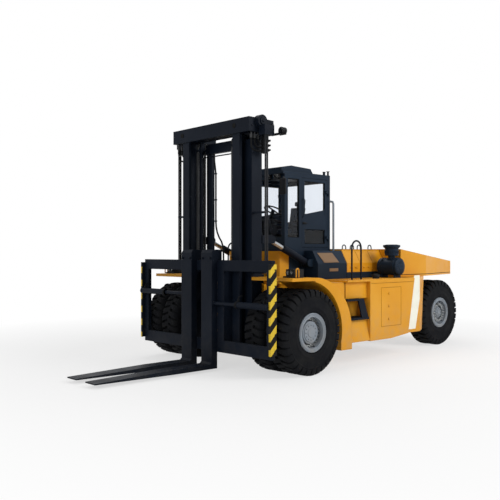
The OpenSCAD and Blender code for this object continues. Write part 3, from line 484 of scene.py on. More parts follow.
# %% Measuring from the front axle
AHEAD, LEFT, UP = Vector((1, 0, 0)), Vector((0, 1, 0)), Vector((0, 0, 1))
BOTH_SIDES = {"left": 1, "right": -1}


def middle_of(node):
    """The middle of a solid's box."""
    low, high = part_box(node)
    return (low + high) / 2


AXLE = middle_of("front_tyres_left")


def at(ahead, left, up):
    """A point ahead of the front axle, left of the centre line and above the ground."""
    return Vector((AXLE.x + ahead, left, up))


print("front axle at", round(AXLE.x, 3), round(AXLE.z, 3))


# %% Blocks and rods
def add_block(bm, low, high, bevel=0.0):
    """A block between two corners, with its edges rounded."""
    low, high = Vector(low), Vector(high)
    size = Matrix.Diagonal((*(high - low), 1))
    made = bmesh.ops.create_cube(bm, size=1.0, matrix=Matrix.Translation((low + high) / 2) @ size)
    if bevel:
        edges = list({edge for vertex in made["verts"] for edge in vertex.link_edges})
        bmesh.ops.bevel(bm, geom=edges, offset=bevel, segments=2, profile=0.5, affect="EDGES")


def add_box(bm, middle, half, bevel):
    """A block about its middle, with half its size to each side."""
    add_block(bm, middle - Vector(half), middle + Vector(half), bevel)


def add_rod(bm, start, end, radius, sides=24, end_radius=None):
    """A round rod, or a cone where the end has a radius of its own."""
    start, end = Vector(start), Vector(end)
    turn = (end - start).to_track_quat("Z", "Y").to_matrix().to_4x4()
    bmesh.ops.create_cone(
        bm,
        cap_ends=True,
        segments=sides,
        radius1=radius,
        radius2=radius if end_radius is None else end_radius,
        depth=(end - start).length,
        matrix=Matrix.Translation((start + end) / 2) @ turn,
    )


# %% Tubes
def add_tube(bm, path, radius, sides=10):
    """A round bar bent along a list of points."""
    path = [Vector(point) for point in path]
    side = None
    rings = []
    for i, point in enumerate(path):
        ahead = (path[min(i + 1, len(path) - 1)] - path[max(i - 1, 0)]).normalized()
        if side is None:
            side = ahead.orthogonal().normalized()
        side = (side - ahead * side.dot(ahead)).normalized()
        other = ahead.cross(side)
        spokes = []
        for k in range(sides):
            turn = 2 * math.pi * k / sides
            spokes.append(math.cos(turn) * side + math.sin(turn) * other)
        rings.append([bm.verts.new(point + radius * spoke) for spoke in spokes])
    for low, high in zip(rings, rings[1:]):
        for k in range(sides):
            bm.faces.new((low[k], low[(k + 1) % sides], high[(k + 1) % sides], high[k]))
    bm.faces.new(rings[0][::-1])
    bm.faces.new(rings[-1])


# %% Turned rings, plates and arcs
def add_turned(bm, centre, profile, steps=72):
    """A closed outline of (radius, sideways) points, turned about a line across the truck."""
    rings = []
    for k in range(steps):
        angle = 2 * math.pi * k / steps
        spoke = Vector((math.cos(angle), 0, math.sin(angle)))
        rings.append([bm.verts.new(centre + r * spoke + Vector((0, y, 0))) for r, y in profile])
    for here, there in zip(rings, rings[1:] + rings[:1]):
        for i, j in zip(range(len(profile)), [*range(1, len(profile)), 0]):
            bm.faces.new((here[i], here[j], there[j], there[i]))


def add_plate(bm, outline, across, thick):
    """A flat plate: outline points in space, pushed along across by thick."""
    push = Vector(across).normalized() * thick
    near = [bm.verts.new(Vector(point)) for point in outline]
    far = [bm.verts.new(Vector(point) + push) for point in outline]
    count = len(near)
    for i in range(count):
        bm.faces.new((near[i], near[(i + 1) % count], far[(i + 1) % count], far[i]))
    bm.faces.new(near[::-1])
    bm.faces.new(far)


def arc(centre, radius, start, stop, steps):
    """Points on an upright arc that runs along the truck."""
    points = []
    for k in range(steps + 1):
        angle = math.radians(start + (stop - start) * k / steps)
        points.append(centre + Vector((radius * math.cos(angle), 0, radius * math.sin(angle))))
    return points


# %% Meshes
def new_shapes(count):
    """Empty bmeshes to add shapes to."""
    return [bmesh.new() for _ in range(count)]


def mesh_of(bm, name):
    """The shapes as a mesh, with every face turned outward."""
    bmesh.ops.recalc_face_normals(bm, faces=bm.faces)
    mesh = bpy.data.meshes.new(name)
    bm.to_mesh(mesh)
    bm.free()
    return mesh


def add_mesh(bm, mesh, place):
    """A finished mesh, moved to a point or placed by a matrix."""
    copy = mesh.copy()
    copy.transform(place if isinstance(place, Matrix) else Matrix.Translation(place))
    bm.from_mesh(copy)
    bpy.data.meshes.remove(copy)


def mirror(bm):
    """Adds the same shapes on the truck's other side."""
    made = bmesh.ops.duplicate(bm, geom=list(bm.verts) + list(bm.edges) + list(bm.faces))["geom"]
    for vertex in (v for v in made if isinstance(v, bmesh.types.BMVert)):
        vertex.co.y = -vertex.co.y
    bmesh.ops.reverse_faces(bm, faces=[f for f in made if isinstance(f, bmesh.types.BMFace)])


# %% Pieces
SHARP_FROM = math.radians(32)


def piece(name, bm, body, slot, coat=None, both=False, replaces=()):
    """Turns shapes into a piece that rides on a body, in the finish of its slot unless coat names another.

    coat names a finish other than the slot's, and both adds the same shapes on the other side.
    """
    if both:
        mirror(bm)
    mesh = mesh_of(bm, name)
    mesh.shade_smooth()
    mesh.set_sharp_from_angle(angle=SHARP_FROM)
    mesh.materials.clear()
    mesh.materials.append(finish[coat or slot])
    made = bpy.data.objects.new(name, mesh)
    scene.collection.objects.link(made)
    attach(made, body)
    if replaces:
        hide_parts(*replaces)
    print(name, "has", len(mesh.polygons), "faces on", body)
    return made


# %% [markdown]
# ## Repeats
# Lugs, clamps, links and bolts come in rings and rows. They could be copied in a loop, but a Geometry Nodes
# tree does it faster and can be tried in the editor. One tree turns copies about a wheel's axle, the other
# moves them along a step.


# %% A Geometry Nodes tree for repeats
def repeat_tree(name, inputs, lay_out):
    """A tree that makes copies of one piece in one finish, where lay_out puts them."""
    tree = bpy.data.node_groups.new(name, "GeometryNodeTree")
    inputs = {"One copy": "Geometry", "Count": "Int", "Finish": "Material"} | inputs
    for label, kind in inputs.items():
        tree.interface.new_socket(label, in_out="INPUT", socket_type=f"NodeSocket{kind}")
    tree.interface.new_socket("Copies", in_out="OUTPUT", socket_type="NodeSocketGeometry")
    given = tree.nodes.new("NodeGroupInput").outputs
    out = tree.nodes.new("NodeGroupOutput").inputs
    copies = add_node(tree, "GeometryNodeInstanceOnPoints")
    real = add_node(tree, "GeometryNodeRealizeInstances")
    coat = add_node(tree, "GeometryNodeSetMaterial")
    lay_out(tree, given, copies.inputs)
    feed(tree, given["One copy"], copies.inputs["Instance"])
    feed(tree, copies.outputs[0], real.inputs[0])
    feed(tree, real.outputs[0], coat.inputs["Geometry"])
    feed(tree, given["Finish"], coat.inputs["Material"])
    feed(tree, coat.outputs[0], out[0])
    return tree


# %% Rings and rows
def in_a_ring(tree, given, copies):
    """Copies turned evenly about a line across the truck."""
    spots = add_node(tree, "GeometryNodePoints")
    feed(tree, given["Count"], spots.inputs["Count"])
    number = add_node(tree, "GeometryNodeInputIndex").outputs[0]
    share = calculated(tree, "DIVIDE", number, given["Count"])
    angles = add_node(tree, "ShaderNodeCombineXYZ")
    feed(tree, product(tree, share, 2 * math.pi), angles.inputs["Y"])
    feed(tree, spots.outputs[0], copies["Points"])
    feed(tree, angles.outputs[0], copies["Rotation"])


def in_a_row(tree, given, copies):
    """Copies that are each moved on by the same step."""
    line = add_node(tree, "GeometryNodeMeshLine", mode="OFFSET")
    feed(tree, given["Count"], line.inputs["Count"])
    feed(tree, given["Step"], line.inputs["Offset"])
    feed(tree, line.outputs[0], copies["Points"])


ring_tree = repeat_tree("ring of copies", {}, in_a_ring)
row_tree = repeat_tree("row of copies", {"Step": "Vector"}, in_a_row)
print("trees", ring_tree.name, "and", row_tree.name)


# %% Running a tree
def evaluated_mesh(obj):
    """The mesh that an object's modifiers make."""
    graph = bpy.context.evaluated_depsgraph_get()
    return bpy.data.meshes.new_from_object(obj.evaluated_get(graph), depsgraph=graph)


def repeat(tree, one, coat, count, step=None):
    """Runs a tree on the shapes of one copy and gives back a plain mesh."""
    carrier = bpy.data.objects.new("one_copy", mesh_of(one, "one_copy"))
    scene.collection.objects.link(carrier)
    modifier = carrier.modifiers.new("repeat", "NODES")
    modifier.node_group = tree
    values = {"Count": count, "Finish": finish[coat], "Step": step}
    for item in tree.interface.items_tree:
        if item.in_out == "INPUT" and item.name in values:
            modifier[item.identifier] = values[item.name]
    made = evaluated_mesh(carrier)
    bpy.data.objects.remove(carrier)
    return made


# %% [markdown]
# ## Tyres
# The solid tyres have plain lugs. A loader tyre has a smooth sidewall and a row of wide lugs on each
# shoulder, parted by deep narrow grooves, and the two rows are set half a step apart. Lugs could be cut
# with booleans, which is slow and breaks easily. Here one lug is built at its place on the tyre, and the
# ring tree turns copies of it about the axle, on a turned carcass whose tread lies at the bottom of the
# grooves.

# %% Carcass of one tyre
tyre_low, tyre_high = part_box("rear_tyre_left")
TYRE_R = (tyre_high.z - tyre_low.z) / 2
HALF_TYRE = (tyre_high.y - tyre_low.y) / 2
BEAD_R = TYRE_R * 0.395
BEAD_HALF = HALF_TYRE - 0.045
GROOVE = 0.055
# share of the tyre's radius, and how far the wall lies inside the tyre's width
SIDEWALL = (
    (0.565, 0.008), (0.575, 0.003), (0.590, 0.003), (0.600, 0.007), (0.72, 0.004),
    (0.80, 0.008), (0.812, 0.002), (0.826, 0.002), (0.84, 0.012), (0.89, 0.026),
)


def carcass():
    """The tyre without its lugs, with two thin ribs on each sidewall."""
    half = [(BEAD_R, BEAD_HALF), (BEAD_R + 0.055, BEAD_HALF + 0.002), (BEAD_R + 0.075, HALF_TYRE - 0.020)]
    half += [(TYRE_R * share, HALF_TYRE - inset) for share, inset in SIDEWALL]
    half.append((TYRE_R - GROOVE, HALF_TYRE - 0.075))
    bm = bmesh.new()
    add_turned(bm, Vector(), half + [(r, -y) for r, y in reversed(half)], 96)
    return bm


bare_tyre = mesh_of(carcass(), "carcass")
print("tyre", round(2 * TYRE_R, 3), "m across and", round(2 * HALF_TYRE, 3), "m wide")

# %% Lugs of one tyre
LUGS = 32
LUG_ROUND = 0.006
LUG_TOP_SHARE = 0.92


def one_lug(side):
    """A lug from the middle of the tread, over the shoulder and a short way down the sidewall."""
    root = TYRE_R - GROOVE - 0.02
    # sideways, foot, top, shift along the tread and half width
    stations = [
        (-0.020, root, TYRE_R - 0.008, -0.050, 0.050),
        (0.110, root, TYRE_R, -0.016, 0.056),
        (HALF_TYRE - 0.052, root, TYRE_R - 0.002, 0.006, 0.060),
        (HALF_TYRE - 0.012, root - 0.03, TYRE_R - 0.046, 0.014, 0.061),
        (HALF_TYRE, TYRE_R * 0.835, TYRE_R - 0.100, 0.018, 0.057),
    ]
    bm = bmesh.new()
    rings = []
    for y, low, high, shift, half in stations:
        top = half * LUG_TOP_SHARE
        corners = [(shift - half, low), (shift + half, low), (shift + top, high), (shift - top, high)]
        rings.append([bm.verts.new((x, side * y, z)) for x, z in corners])
    for near, far in zip(rings, rings[1:]):
        for i in range(4):
            bm.faces.new((near[i], near[(i + 1) % 4], far[(i + 1) % 4], far[i]))
    bm.faces.new(rings[0])
    bm.faces.new(rings[-1])
    tops = [e for e in bm.edges if all(v.co.z > root + 0.03 for v in e.verts)]
    bmesh.ops.bevel(bm, geom=tops, offset=LUG_ROUND, segments=1, affect="EDGES")
    return bm


left_lugs = repeat(ring_tree, one_lug(1), "tyre", LUGS)
right_lugs = repeat(ring_tree, one_lug(-1), "tyre", LUGS)
HALF_STEP = Matrix.Rotation(math.pi / LUGS, 4, "Y")
print("lugs on a tyre", 2 * LUGS)


# %% Tyres on their wheels
def add_tyre(bm, centre):
    """A whole tyre with its middle at centre."""
    place = Matrix.Translation(centre)
    add_mesh(bm, bare_tyre, place)
    add_mesh(bm, left_lugs, place)
    add_mesh(bm, right_lugs, place @ HALF_STEP)


for side in BOTH_SIDES:
    pair_low, pair_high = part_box(f"front_tyres_{side}")
    pair_bm, rear_bm = new_shapes(2)
    for y in (pair_low.y + HALF_TYRE, pair_high.y - HALF_TYRE):
        add_tyre(pair_bm, Vector((AXLE.x, y, AXLE.z)))
    add_tyre(rear_bm, middle_of(f"rear_tyre_{side}"))
    piece(f"front_tread_{side}", pair_bm, f"front_wheels_{side}", "tyre", replaces=[f"front_tyres_{side}"])
    piece(f"rear_tread_{side}", rear_bm, f"rear_wheel_{side}", "tyre", replaces=[f"rear_tyre_{side}"])


# %% [markdown]
# ## Rims
# The silver rims are dished. A ring of clamps holds each rim to its hub, every clamp has a nut, and the
# edge of the rim is a rolled bead with a lock ring. Small dark valve stems stand between the clamps. The
# clamps and nuts are copies turned by the ring tree. The bead is a turned ring, because a torus can't have
# a flat back.


# %% Clamps and beads
CLAMP_HALF, CLAMP_OUT = 0.020, 0.075
NUT_R, NUT_OUT = 0.016, 0.100
STUD_R, STUD_OUT = 0.008, 0.115
LIP_STEPS = 13
LIP_R, LIP_HALF = 0.012, 0.010


def clamp(inner, outer, face, sign):
    """A wheel clamp between two radii, on a disc at face, with its nut and stud."""
    bm = bmesh.new()
    foot = Vector((0, sign * face, (inner + outer) / 2))
    low_y, high_y = sorted((sign * face, sign * (face + CLAMP_OUT)))
    add_block(bm, (-CLAMP_HALF, low_y, inner), (CLAMP_HALF, high_y, outer), 0.004)
    add_rod(bm, foot, foot + sign * NUT_OUT * LEFT, NUT_R, 6)
    add_rod(bm, foot, foot + sign * STUD_OUT * LEFT, STUD_R, 10)
    return bm


def add_bead(bm, hub, flange_r, edge, sign):
    """The rolled lip and the lock ring at the outside of a rim."""
    lip = []
    for k in range(LIP_STEPS):
        angle = 2 * math.pi * k / LIP_STEPS
        lip.append((flange_r - LIP_R + LIP_R * math.cos(angle), edge + LIP_HALF * math.sin(angle)))
    low_r, high_r, back, front = flange_r - 0.05, flange_r - 0.03, edge - 0.004, edge + 0.006
    lock = [(low_r, back), (high_r, back), (high_r, front), (low_r, front)]
    for outline in (lip, lock):
        add_turned(bm, hub, [(r, sign * y) for r, y in outline])


# %% Clamps, beads and valves on the rims
VALVE_ANGLES = (70, 250)
VALVE_R, VALVE_OUT = 0.009, 0.12


def dress_rim(name, node, body, face, clamps, inner, outer, sign):
    """Clamps, bead and valves on one rim. face is the disc's outer face, from the centre line."""
    low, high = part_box(node)
    hub = Vector(((low.x + high.x) / 2, 0, (low.z + high.z) / 2))
    clamp_bm, bead_bm, valve_bm = new_shapes(3)
    ring = repeat(ring_tree, clamp(inner, outer, face, sign), "pale_zinc", clamps)
    add_mesh(clamp_bm, ring, hub)
    add_bead(bead_bm, hub, (high.z - low.z) / 2, max(abs(low.y), abs(high.y)), sign)
    for angle in VALVE_ANGLES:
        spoke = Vector((math.cos(math.radians(angle)), 0, math.sin(math.radians(angle))))
        foot = hub + spoke * (outer - 0.01) + sign * face * LEFT
        tip = foot + sign * VALVE_OUT * LEFT
        add_tube(valve_bm, [foot, tip, tip + spoke * 0.012 + sign * 0.02 * LEFT], VALVE_R)
        add_box(valve_bm, foot, (0.025, 0.012, 0.012), 0.003)
    piece(f"{name}_clamps", clamp_bm, body, "rim_silver", "pale_zinc")
    piece(f"{name}_bead", bead_bm, body, "rim_silver")
    piece(f"{name}_valves", valve_bm, body, "rim_silver", "dark_plastic")


# face of the disc, number of clamps, their inner and outer radius
FRONT_RIM = (1.940, 24, 0.236, 0.288)
REAR_RIM = (1.250, 20, 0.180, 0.232)
for side, sign in BOTH_SIDES.items():
    dress_rim(f"front_{side}", f"front_rims_{side}", f"front_wheels_{side}", *FRONT_RIM, sign)
    dress_rim(f"rear_{side}", f"rear_rim_{side}", f"rear_wheel_{side}", *REAR_RIM, sign)


# %% Hub covers
def hub_cover(name, node, body, radius, face, bolts, sign):
    """A stepped cover with a ring of small bolts, on the end of a hub."""
    middle = middle_of(node)
    hub = Vector((middle.x, 0, middle.z))
    outline = [(0.001, 0.014), (radius * 0.42, 0.014), (radius * 0.46, 0.004), (radius * 0.86, 0.002)]
    outline += [(radius * 0.9, -0.01), (radius * 0.9, -0.03), (0.001, -0.03)]
    bm, bolt = new_shapes(2)
    add_turned(bm, hub, [(r, sign * (face + out)) for r, out in outline], 48)
    foot = Vector((0, sign * face, radius * 0.68))
    add_rod(bolt, foot, foot + sign * 0.018 * LEFT, 0.011, 6)
    add_mesh(bm, repeat(ring_tree, bolt, "pale_zinc", bolts), hub)
    piece(name, bm, body, "rim_silver")


# radius, face and number of bolts
FRONT_HUB = (0.205, 2.080, 12)
REAR_HUB = (0.125, 1.330, 8)
for side, sign in BOTH_SIDES.items():
    hub_cover(f"front_hub_{side}", f"front_rims_{side}", f"front_wheels_{side}", *FRONT_HUB, sign)
    hub_cover(f"rear_hub_{side}", f"rear_rim_{side}", f"rear_wheel_{side}", *REAR_HUB, sign)


# %% [markdown]
# ## Lift chains
# Each side of the carriage hangs on a leaf chain, which runs over a pulley under the head beam and down to
# the outer mast. A solid bar stands for each run. A leaf chain is stacks of figure-eight plates on pins.
# One link is built from plates and a pin, and the row tree repeats it down the run. The front run gets
# shorter as the carriage rises; here it rides on the inner mast with a mesh of its own.

# %% One link and a straight run
LINK_STEP = 0.056
CHAIN_DEEP = 0.030
PLATE_PITCH, FEWEST_PLATES = 0.011, 3
PLATE_SHARE = 0.8
PLATE_END = 0.013
WAIST_SHARE = 0.3
PIN_R = 0.008


def one_link(low_y, high_y):
    """A link of plates that lie between two places across the truck, with its pins."""
    bm = bmesh.new()
    plates = max(FEWEST_PLATES, round((high_y - low_y) / PLATE_PITCH))
    pitch = (high_y - low_y) / plates
    wide, waist = CHAIN_DEEP / 2, CHAIN_DEEP * WAIST_SHARE
    for k in range(plates):
        y = low_y + k * pitch
        far_y = y + pitch * PLATE_SHARE
        lift = LINK_STEP / 2 if k % 2 else 0.0
        for z in (lift, lift + LINK_STEP / 2):
            add_block(bm, (-wide, y, z - PLATE_END), (wide, far_y, z + PLATE_END))
        add_block(bm, (-waist, y, lift), (waist, far_y, lift + LINK_STEP / 2))
    for z in (0.0, LINK_STEP / 2):
        add_rod(bm, (0, low_y - 0.004, z), (0, high_y + 0.002, z), PIN_R, 8)
    return bm


def chain_run(bm, x, low_y, high_y, low_z, high_z):
    """A run of links at x that fills the space across and up between two limits."""
    links = int((high_z - low_z) / LINK_STEP) - 1
    run = repeat(row_tree, one_link(low_y, high_y), "steel", links, (0, 0, LINK_STEP))
    add_mesh(bm, run, (x, 0, low_z + 0.02))


# %% The front runs
CHAIN_IN, CHAIN_MID, CHAIN_OUT = 0.515, 0.545, 0.575
front_low, front_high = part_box("front_chains")
front_bm = bmesh.new()
chain_run(front_bm, (front_low.x + front_high.x) / 2, CHAIN_IN, CHAIN_OUT, front_low.z, front_high.z)
front_run = piece("front_chain_links", front_bm, "mast_inner", "steel", both=True, replaces=["front_chains"])
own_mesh(front_run)

# %% The rear runs and the bend over the pulley
CHAIN_GAP = 0.003
PULLEY_R = 0.090
BEND_LINKS = 10
fixed_low, fixed_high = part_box("fixed_chains")
fixed_x = (fixed_low.x + fixed_high.x) / 2
fixed_bm = bmesh.new()
chain_run(fixed_bm, fixed_x, CHAIN_MID + CHAIN_GAP, CHAIN_OUT, fixed_low.z, fixed_high.z)
piece("fixed_chain_links", fixed_bm, "mast_outer", "steel", both=True, replaces=["fixed_chains"])

moving_x = fixed_low.x + CHAIN_DEEP / 2
moving_bm = bmesh.new()
moving_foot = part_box("moving_chains")[0].z
chain_run(moving_bm, moving_x, CHAIN_IN, CHAIN_MID - CHAIN_GAP, moving_foot, front_high.z)
pulley = Vector((moving_x + PULLEY_R, 0, front_high.z))
bend_link = mesh_of(one_link(CHAIN_IN, CHAIN_OUT), "bend_link")
for k in range(BEND_LINKS):
    turn = Matrix.Rotation(math.pi * (k + 0.5) / BEND_LINKS, 4, "Y")
    place = Matrix.Translation(pulley) @ turn @ Matrix.Translation((-PULLEY_R, 0, -LINK_STEP / 2))
    add_mesh(moving_bm, bend_link, place)
piece("moving_chain_links", moving_bm, "mast_inner", "steel", both=True, replaces=["moving_chains"])

# %% [markdown]
# ## Head of the mast
# The head beam is a box of plate. It has a round hole near each end, bolts on its top and sides, and a
# clutter of hose fittings below its ends: nuts, couplings and short hoses that bend round to a distributor.
# A work lamp stands out on an arm. The fittings are short rods, blocks and tubes, since each one is small
# and different.

# %% Beam holes and bolts
BEAM_FRONT = 0.750
hole_bm, bolt_bm = new_shapes(2)
for left in (-0.868, 0.762):
    hole = at(BEAM_FRONT, left, 4.755)
    add_rod(hole_bm, hole, hole + 0.006 * AHEAD, 0.048, 32)
# each hole is a flat dark disc on the beam: painted shade for its inside
piece("beam_holes", hole_bm, "mast_inner", "mast_black", "dark_seam_and_shade")

for left in (0.30, 0.60, 0.90):
    foot = at(BEAM_FRONT - 0.08, left, 4.880)
    add_rod(bolt_bm, foot, foot + 0.016 * UP, 0.022, 6)
for ahead, up in ((0.26, 4.82), (0.66, 4.72)):
    foot = at(ahead, 1.183, up)
    add_rod(bolt_bm, foot, foot + 0.016 * LEFT, 0.02, 6)
cap = at(0.467, 1.273, 4.814)
add_rod(bolt_bm, cap, cap + 0.018 * LEFT, 0.07, 32)
add_rod(bolt_bm, cap + 0.018 * LEFT, cap + 0.032 * LEFT, 0.028, 6)
piece("beam_bolts", bolt_bm, "mast_inner", "mast_black", both=True)

# %% Hose fittings under the ends of the beam
FIT_AHEAD = 0.30
fit_bm = bmesh.new()
for ahead in (0.424, 0.474):
    top = at(ahead, 1.349, 4.545)
    add_rod(fit_bm, top - 0.09 * UP, top, 0.026, 6)
    add_rod(fit_bm, top - 0.13 * UP, top - 0.09 * UP, 0.021, 16)
for up in (4.27, 4.36, 4.45):
    add_rod(fit_bm, at(FIT_AHEAD, 1.12, up), at(FIT_AHEAD, 1.30, up), 0.020, 12)
    add_rod(fit_bm, at(FIT_AHEAD, 1.22, up), at(FIT_AHEAD, 1.26, up), 0.030, 6)
add_block(fit_bm, at(FIT_AHEAD - 0.035, 1.09, 4.22), at(FIT_AHEAD + 0.035, 1.21, 4.640), 0.006)
piece("beam_fittings", fit_bm, "mast_inner", "hose", "lamp", both=True)

# %% Couplings and the hoses that bend from them
HOSE_BEND = 0.10
COUPLING_LEFT, COUPLING_UP = 1.13, 4.560
LOOP_END = 0.334
nut_bm, loop_bm = new_shapes(2)
for ahead, up in ((0.46, 4.40), (0.55, 4.33), (0.64, 4.26)):
    nut, end = at(ahead, COUPLING_LEFT, COUPLING_UP), at(LOOP_END, COUPLING_LEFT, up)
    add_rod(nut_bm, nut, nut + 0.050 * UP, 0.016, 12)
    add_rod(nut_bm, nut - 0.070 * UP, nut, 0.027, 6)
    bend = arc(at(ahead - HOSE_BEND, COUPLING_LEFT, up + HOSE_BEND), HOSE_BEND, 0, -90, 6)
    add_tube(loop_bm, [nut - 0.030 * UP] + bend + [end], 0.017)
    add_rod(nut_bm, end, end + 0.026 * AHEAD, 0.024, 6)
piece("beam_couplings", nut_bm, "mast_inner", "steel", both=True)
piece("beam_hose_loops", loop_bm, "mast_inner", "hose", both=True)

spare_bm = bmesh.new()
add_tube(spare_bm, [at(0.449, -1.330, up) for up in (1.92, 2.6, 3.4, 4.40)], 0.014, 12)
piece("right_spare_hose", spare_bm, "mast_outer", "hose")

# %% Work lamps
LAMP_R = 0.070
lamp_low, lamp_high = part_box("mast_lamps")
shade_bm, lens_bm = new_shapes(2)
lamp_face = Vector((lamp_high.x, lamp_high.y - LAMP_R, lamp_low.z + LAMP_R))
add_rod(shade_bm, lamp_face, lamp_face + 0.012 * AHEAD, 0.072, 32)
add_rod(shade_bm, lamp_face - 0.110 * AHEAD, lamp_face - 0.085 * AHEAD, 0.035, 24, 0.06)
yoke = ((-0.08, 0), (-0.08, -0.075), (0.08, -0.075), (0.08, 0))
add_tube(shade_bm, [lamp_face + Vector((-0.05, left, up)) for left, up in yoke], 0.009)
add_rod(lens_bm, lamp_face + 0.010 * AHEAD, lamp_face + 0.022 * AHEAD, 0.058, 32, 0.050)
piece("work_lamp_shells", shade_bm, "mast_inner", "lamp", both=True)
piece("work_lamp_lenses", lens_bm, "mast_inner", "lamp", "lens_clear", both=True)

# %% [markdown]
# ## Hose in the mast window
# A thin hose comes down the middle of the mast window, held by clips, and at the bottom it bends across to
# a block of valves on a cross beam. It is fixed at both ends and doesn't hang free, so it is part of the
# outer mast and follows a drawn path. A thin tie bar crosses the window below the top beam.

# %% Hose, clips and tie bar
WINDOW_AHEAD, HOSE_LEFT = 0.270, -0.345
HOSE_ROUTE = (
    (-0.395, 4.385), (-0.390, 4.22), (-0.365, 4.08), (HOSE_LEFT, 3.95), (HOSE_LEFT, 3.40),
    (HOSE_LEFT, 2.95), (-0.335, 2.84), (-0.30, 2.72), (-0.235, 2.61), (-0.165, 2.53),
    (-0.120, 2.43), (-0.103, 2.30), (-0.100, 2.14),
)
hose_path = [at(WINDOW_AHEAD, left, up) for left, up in HOSE_ROUTE]
hose_path += [at(WINDOW_AHEAD - 0.02, -0.100, 2.06), at(WINDOW_AHEAD - 0.035, -0.100, 2.01)]
hose_bm, clip_bm = new_shapes(2)
add_tube(hose_bm, hose_path, 0.018)
piece("window_hose", hose_bm, "mast_outer", "hose")
for up in (3.954, 3.406, 2.96):
    add_box(clip_bm, at(WINDOW_AHEAD, HOSE_LEFT, up), (0.020, 0.022, 0.016), 0.004)
add_tube(clip_bm, [at(WINDOW_AHEAD - 0.02, left, 4.326) for left in (-0.80, 0.80)], 0.013)
piece("window_clips", clip_bm, "mast_outer", "mast_black")

# %% Valve block on the lower window beam
valve_bm = bmesh.new()
add_block(valve_bm, at(0.195, -0.30, 1.88), at(0.280, -0.06, 1.97), 0.01)
for left in (-0.26, -0.18, -0.10):
    add_rod(valve_bm, at(0.235, left, 1.97), at(0.235, left, 2.02), 0.022, 6)
    add_rod(valve_bm, at(0.280, left, 1.925), at(0.289, left, 1.925), 0.018, 6)
piece("window_valves", valve_bm, "mast_outer", "mast_black", "lamp")

# %% [markdown]
# ## Carriage and forks
# The carriage is welded plate. Its striped side plates are bolted on, hoses feed the two cylinders that
# spread the forks, and black pins lock the fork heads on the top bar. Rows of bolts come from the row tree.
# Weld beads are thin tubes along the joints, a little sunk, as real beads are.

# %% Bolts on the carriage's side plates
BOLT_AHEAD, BOLT_STEP, PLATE_BOLTS = 0.890, 0.29, 6
side_low, side_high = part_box("carriage_sides")
plate_bolt, plate_bm = new_shapes(2)
add_rod(plate_bolt, (0, 0, 0), (0, 0.008, 0), 0.012, 6)
bolt_row = repeat(row_tree, plate_bolt, "mast_black", PLATE_BOLTS, (0, 0, BOLT_STEP))
add_mesh(plate_bm, bolt_row, at(BOLT_AHEAD, side_high.y, side_low.z + 0.09))
add_block(plate_bm, at(0.931, 1.974, side_low.z + 0.002), at(1.008, 1.981, side_high.z - 0.002))
piece("side_plate_bolts", plate_bm, "carriage", "mast_black", both=True)

# %% Hoses on the cylinders that spread the forks
SPREAD_AHEAD = 1.000
PORT_HOSE = ((0, 0.05), (-0.01, 0.085), (-0.04, 0.105), (-0.075, 0.11), (-0.1, 0.11))
spread_bm = bmesh.new()
for sign, height in ((1, 1.320), (-1, 1.470)):
    for left in (1.16, 1.86):
        port = at(SPREAD_AHEAD, sign * left, height + 0.055)
        add_rod(spread_bm, port, port + 0.05 * UP, 0.022, 6)
        add_tube(spread_bm, [port + Vector((ahead, 0, up)) for ahead, up in PORT_HOSE], 0.012)
    collar = at(SPREAD_AHEAD, sign * 1.11, height)
    add_rod(spread_bm, collar, collar + sign * 0.05 * LEFT, 0.068, 32)
piece("spreader_fittings", spread_bm, "carriage", "hose")

# %% Weld beads on the carriage bars
WELD_AHEAD, EDGE_AHEAD = 0.9245, 0.9145
WELD_R = 0.007
WELD_INNER, WELD_OUTER = 0.660, 1.892
BAR_EDGES = (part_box("carriage")[0].z + 0.23, 1.950)
weld_bm = bmesh.new()
for left in (0.480, WELD_INNER, WELD_OUTER):
    add_tube(weld_bm, [at(WELD_AHEAD, left, height) for height in BAR_EDGES], WELD_R, 6)
for height in BAR_EDGES:
    add_tube(weld_bm, [at(EDGE_AHEAD, left, height) for left in (WELD_INNER, WELD_OUTER)], WELD_R, 6)
piece("carriage_welds", weld_bm, "carriage", "mast_black", both=True)

# %% Fork pins
for side, sign in BOTH_SIDES.items():
    pin_bm = bmesh.new()
    for left in (0.20, 0.43):
        pin = at(1.070, sign * left, 2.19)
        add_rod(pin_bm, pin, pin + 0.022 * AHEAD, 0.022, 24)
        add_rod(pin_bm, pin + 0.022 * AHEAD, pin + 0.032 * AHEAD, 0.012, 6)
    piece(f"fork_pins_{side}", pin_bm, f"fork_{side}", "mast_black")

# %% [markdown]
# ## Headlamps
# A lamp box stands on each front fender, beside a bent guard. It holds two round lamps, and each has a rim
# and a clear lens. A lamp could be a white disc, but a lens in front of a dark bowl catches the light as a
# real one does.

# %% Headlamps and guards
FENDER_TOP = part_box("headlamps")[0].z
RING_IN, RING_OUT, RING_DEEP = 0.034, 0.044, 0.016
GUARD_R, GUARD_UP = 0.035, 0.13
ring_bm, lens_bm, guard_bm, one_ring = new_shapes(4)
ring_outline = [(RING_IN, 0), (RING_OUT, 0), (RING_OUT, RING_DEEP), (RING_IN, RING_DEEP)]
add_turned(one_ring, Vector(), ring_outline, 32)
lamp_ring = mesh_of(one_ring, "lamp_ring")
for left in (1.800, 1.900):
    face = at(0.330, left, FENDER_TOP + 0.095)
    add_mesh(ring_bm, lamp_ring, Matrix.Translation(face) @ Matrix.Rotation(-math.pi / 2, 4, "Z"))
    add_rod(lens_bm, face + 0.001 * AHEAD, face + 0.012 * AHEAD, RING_IN, 32, 0.030)
foot = at(0.350, 2.030, FENDER_TOP + 0.01)
crown = arc(foot + GUARD_UP * UP - GUARD_R * AHEAD, GUARD_R, 0, 180, 8)
add_tube(guard_bm, [foot] + crown + [foot - 2 * GUARD_R * AHEAD], 0.013)
piece("headlamp_rings", ring_bm, "chassis", "lamp", "steel", both=True)
piece("headlamp_lenses", lens_bm, "chassis", "lamp", "lens_clear", both=True)
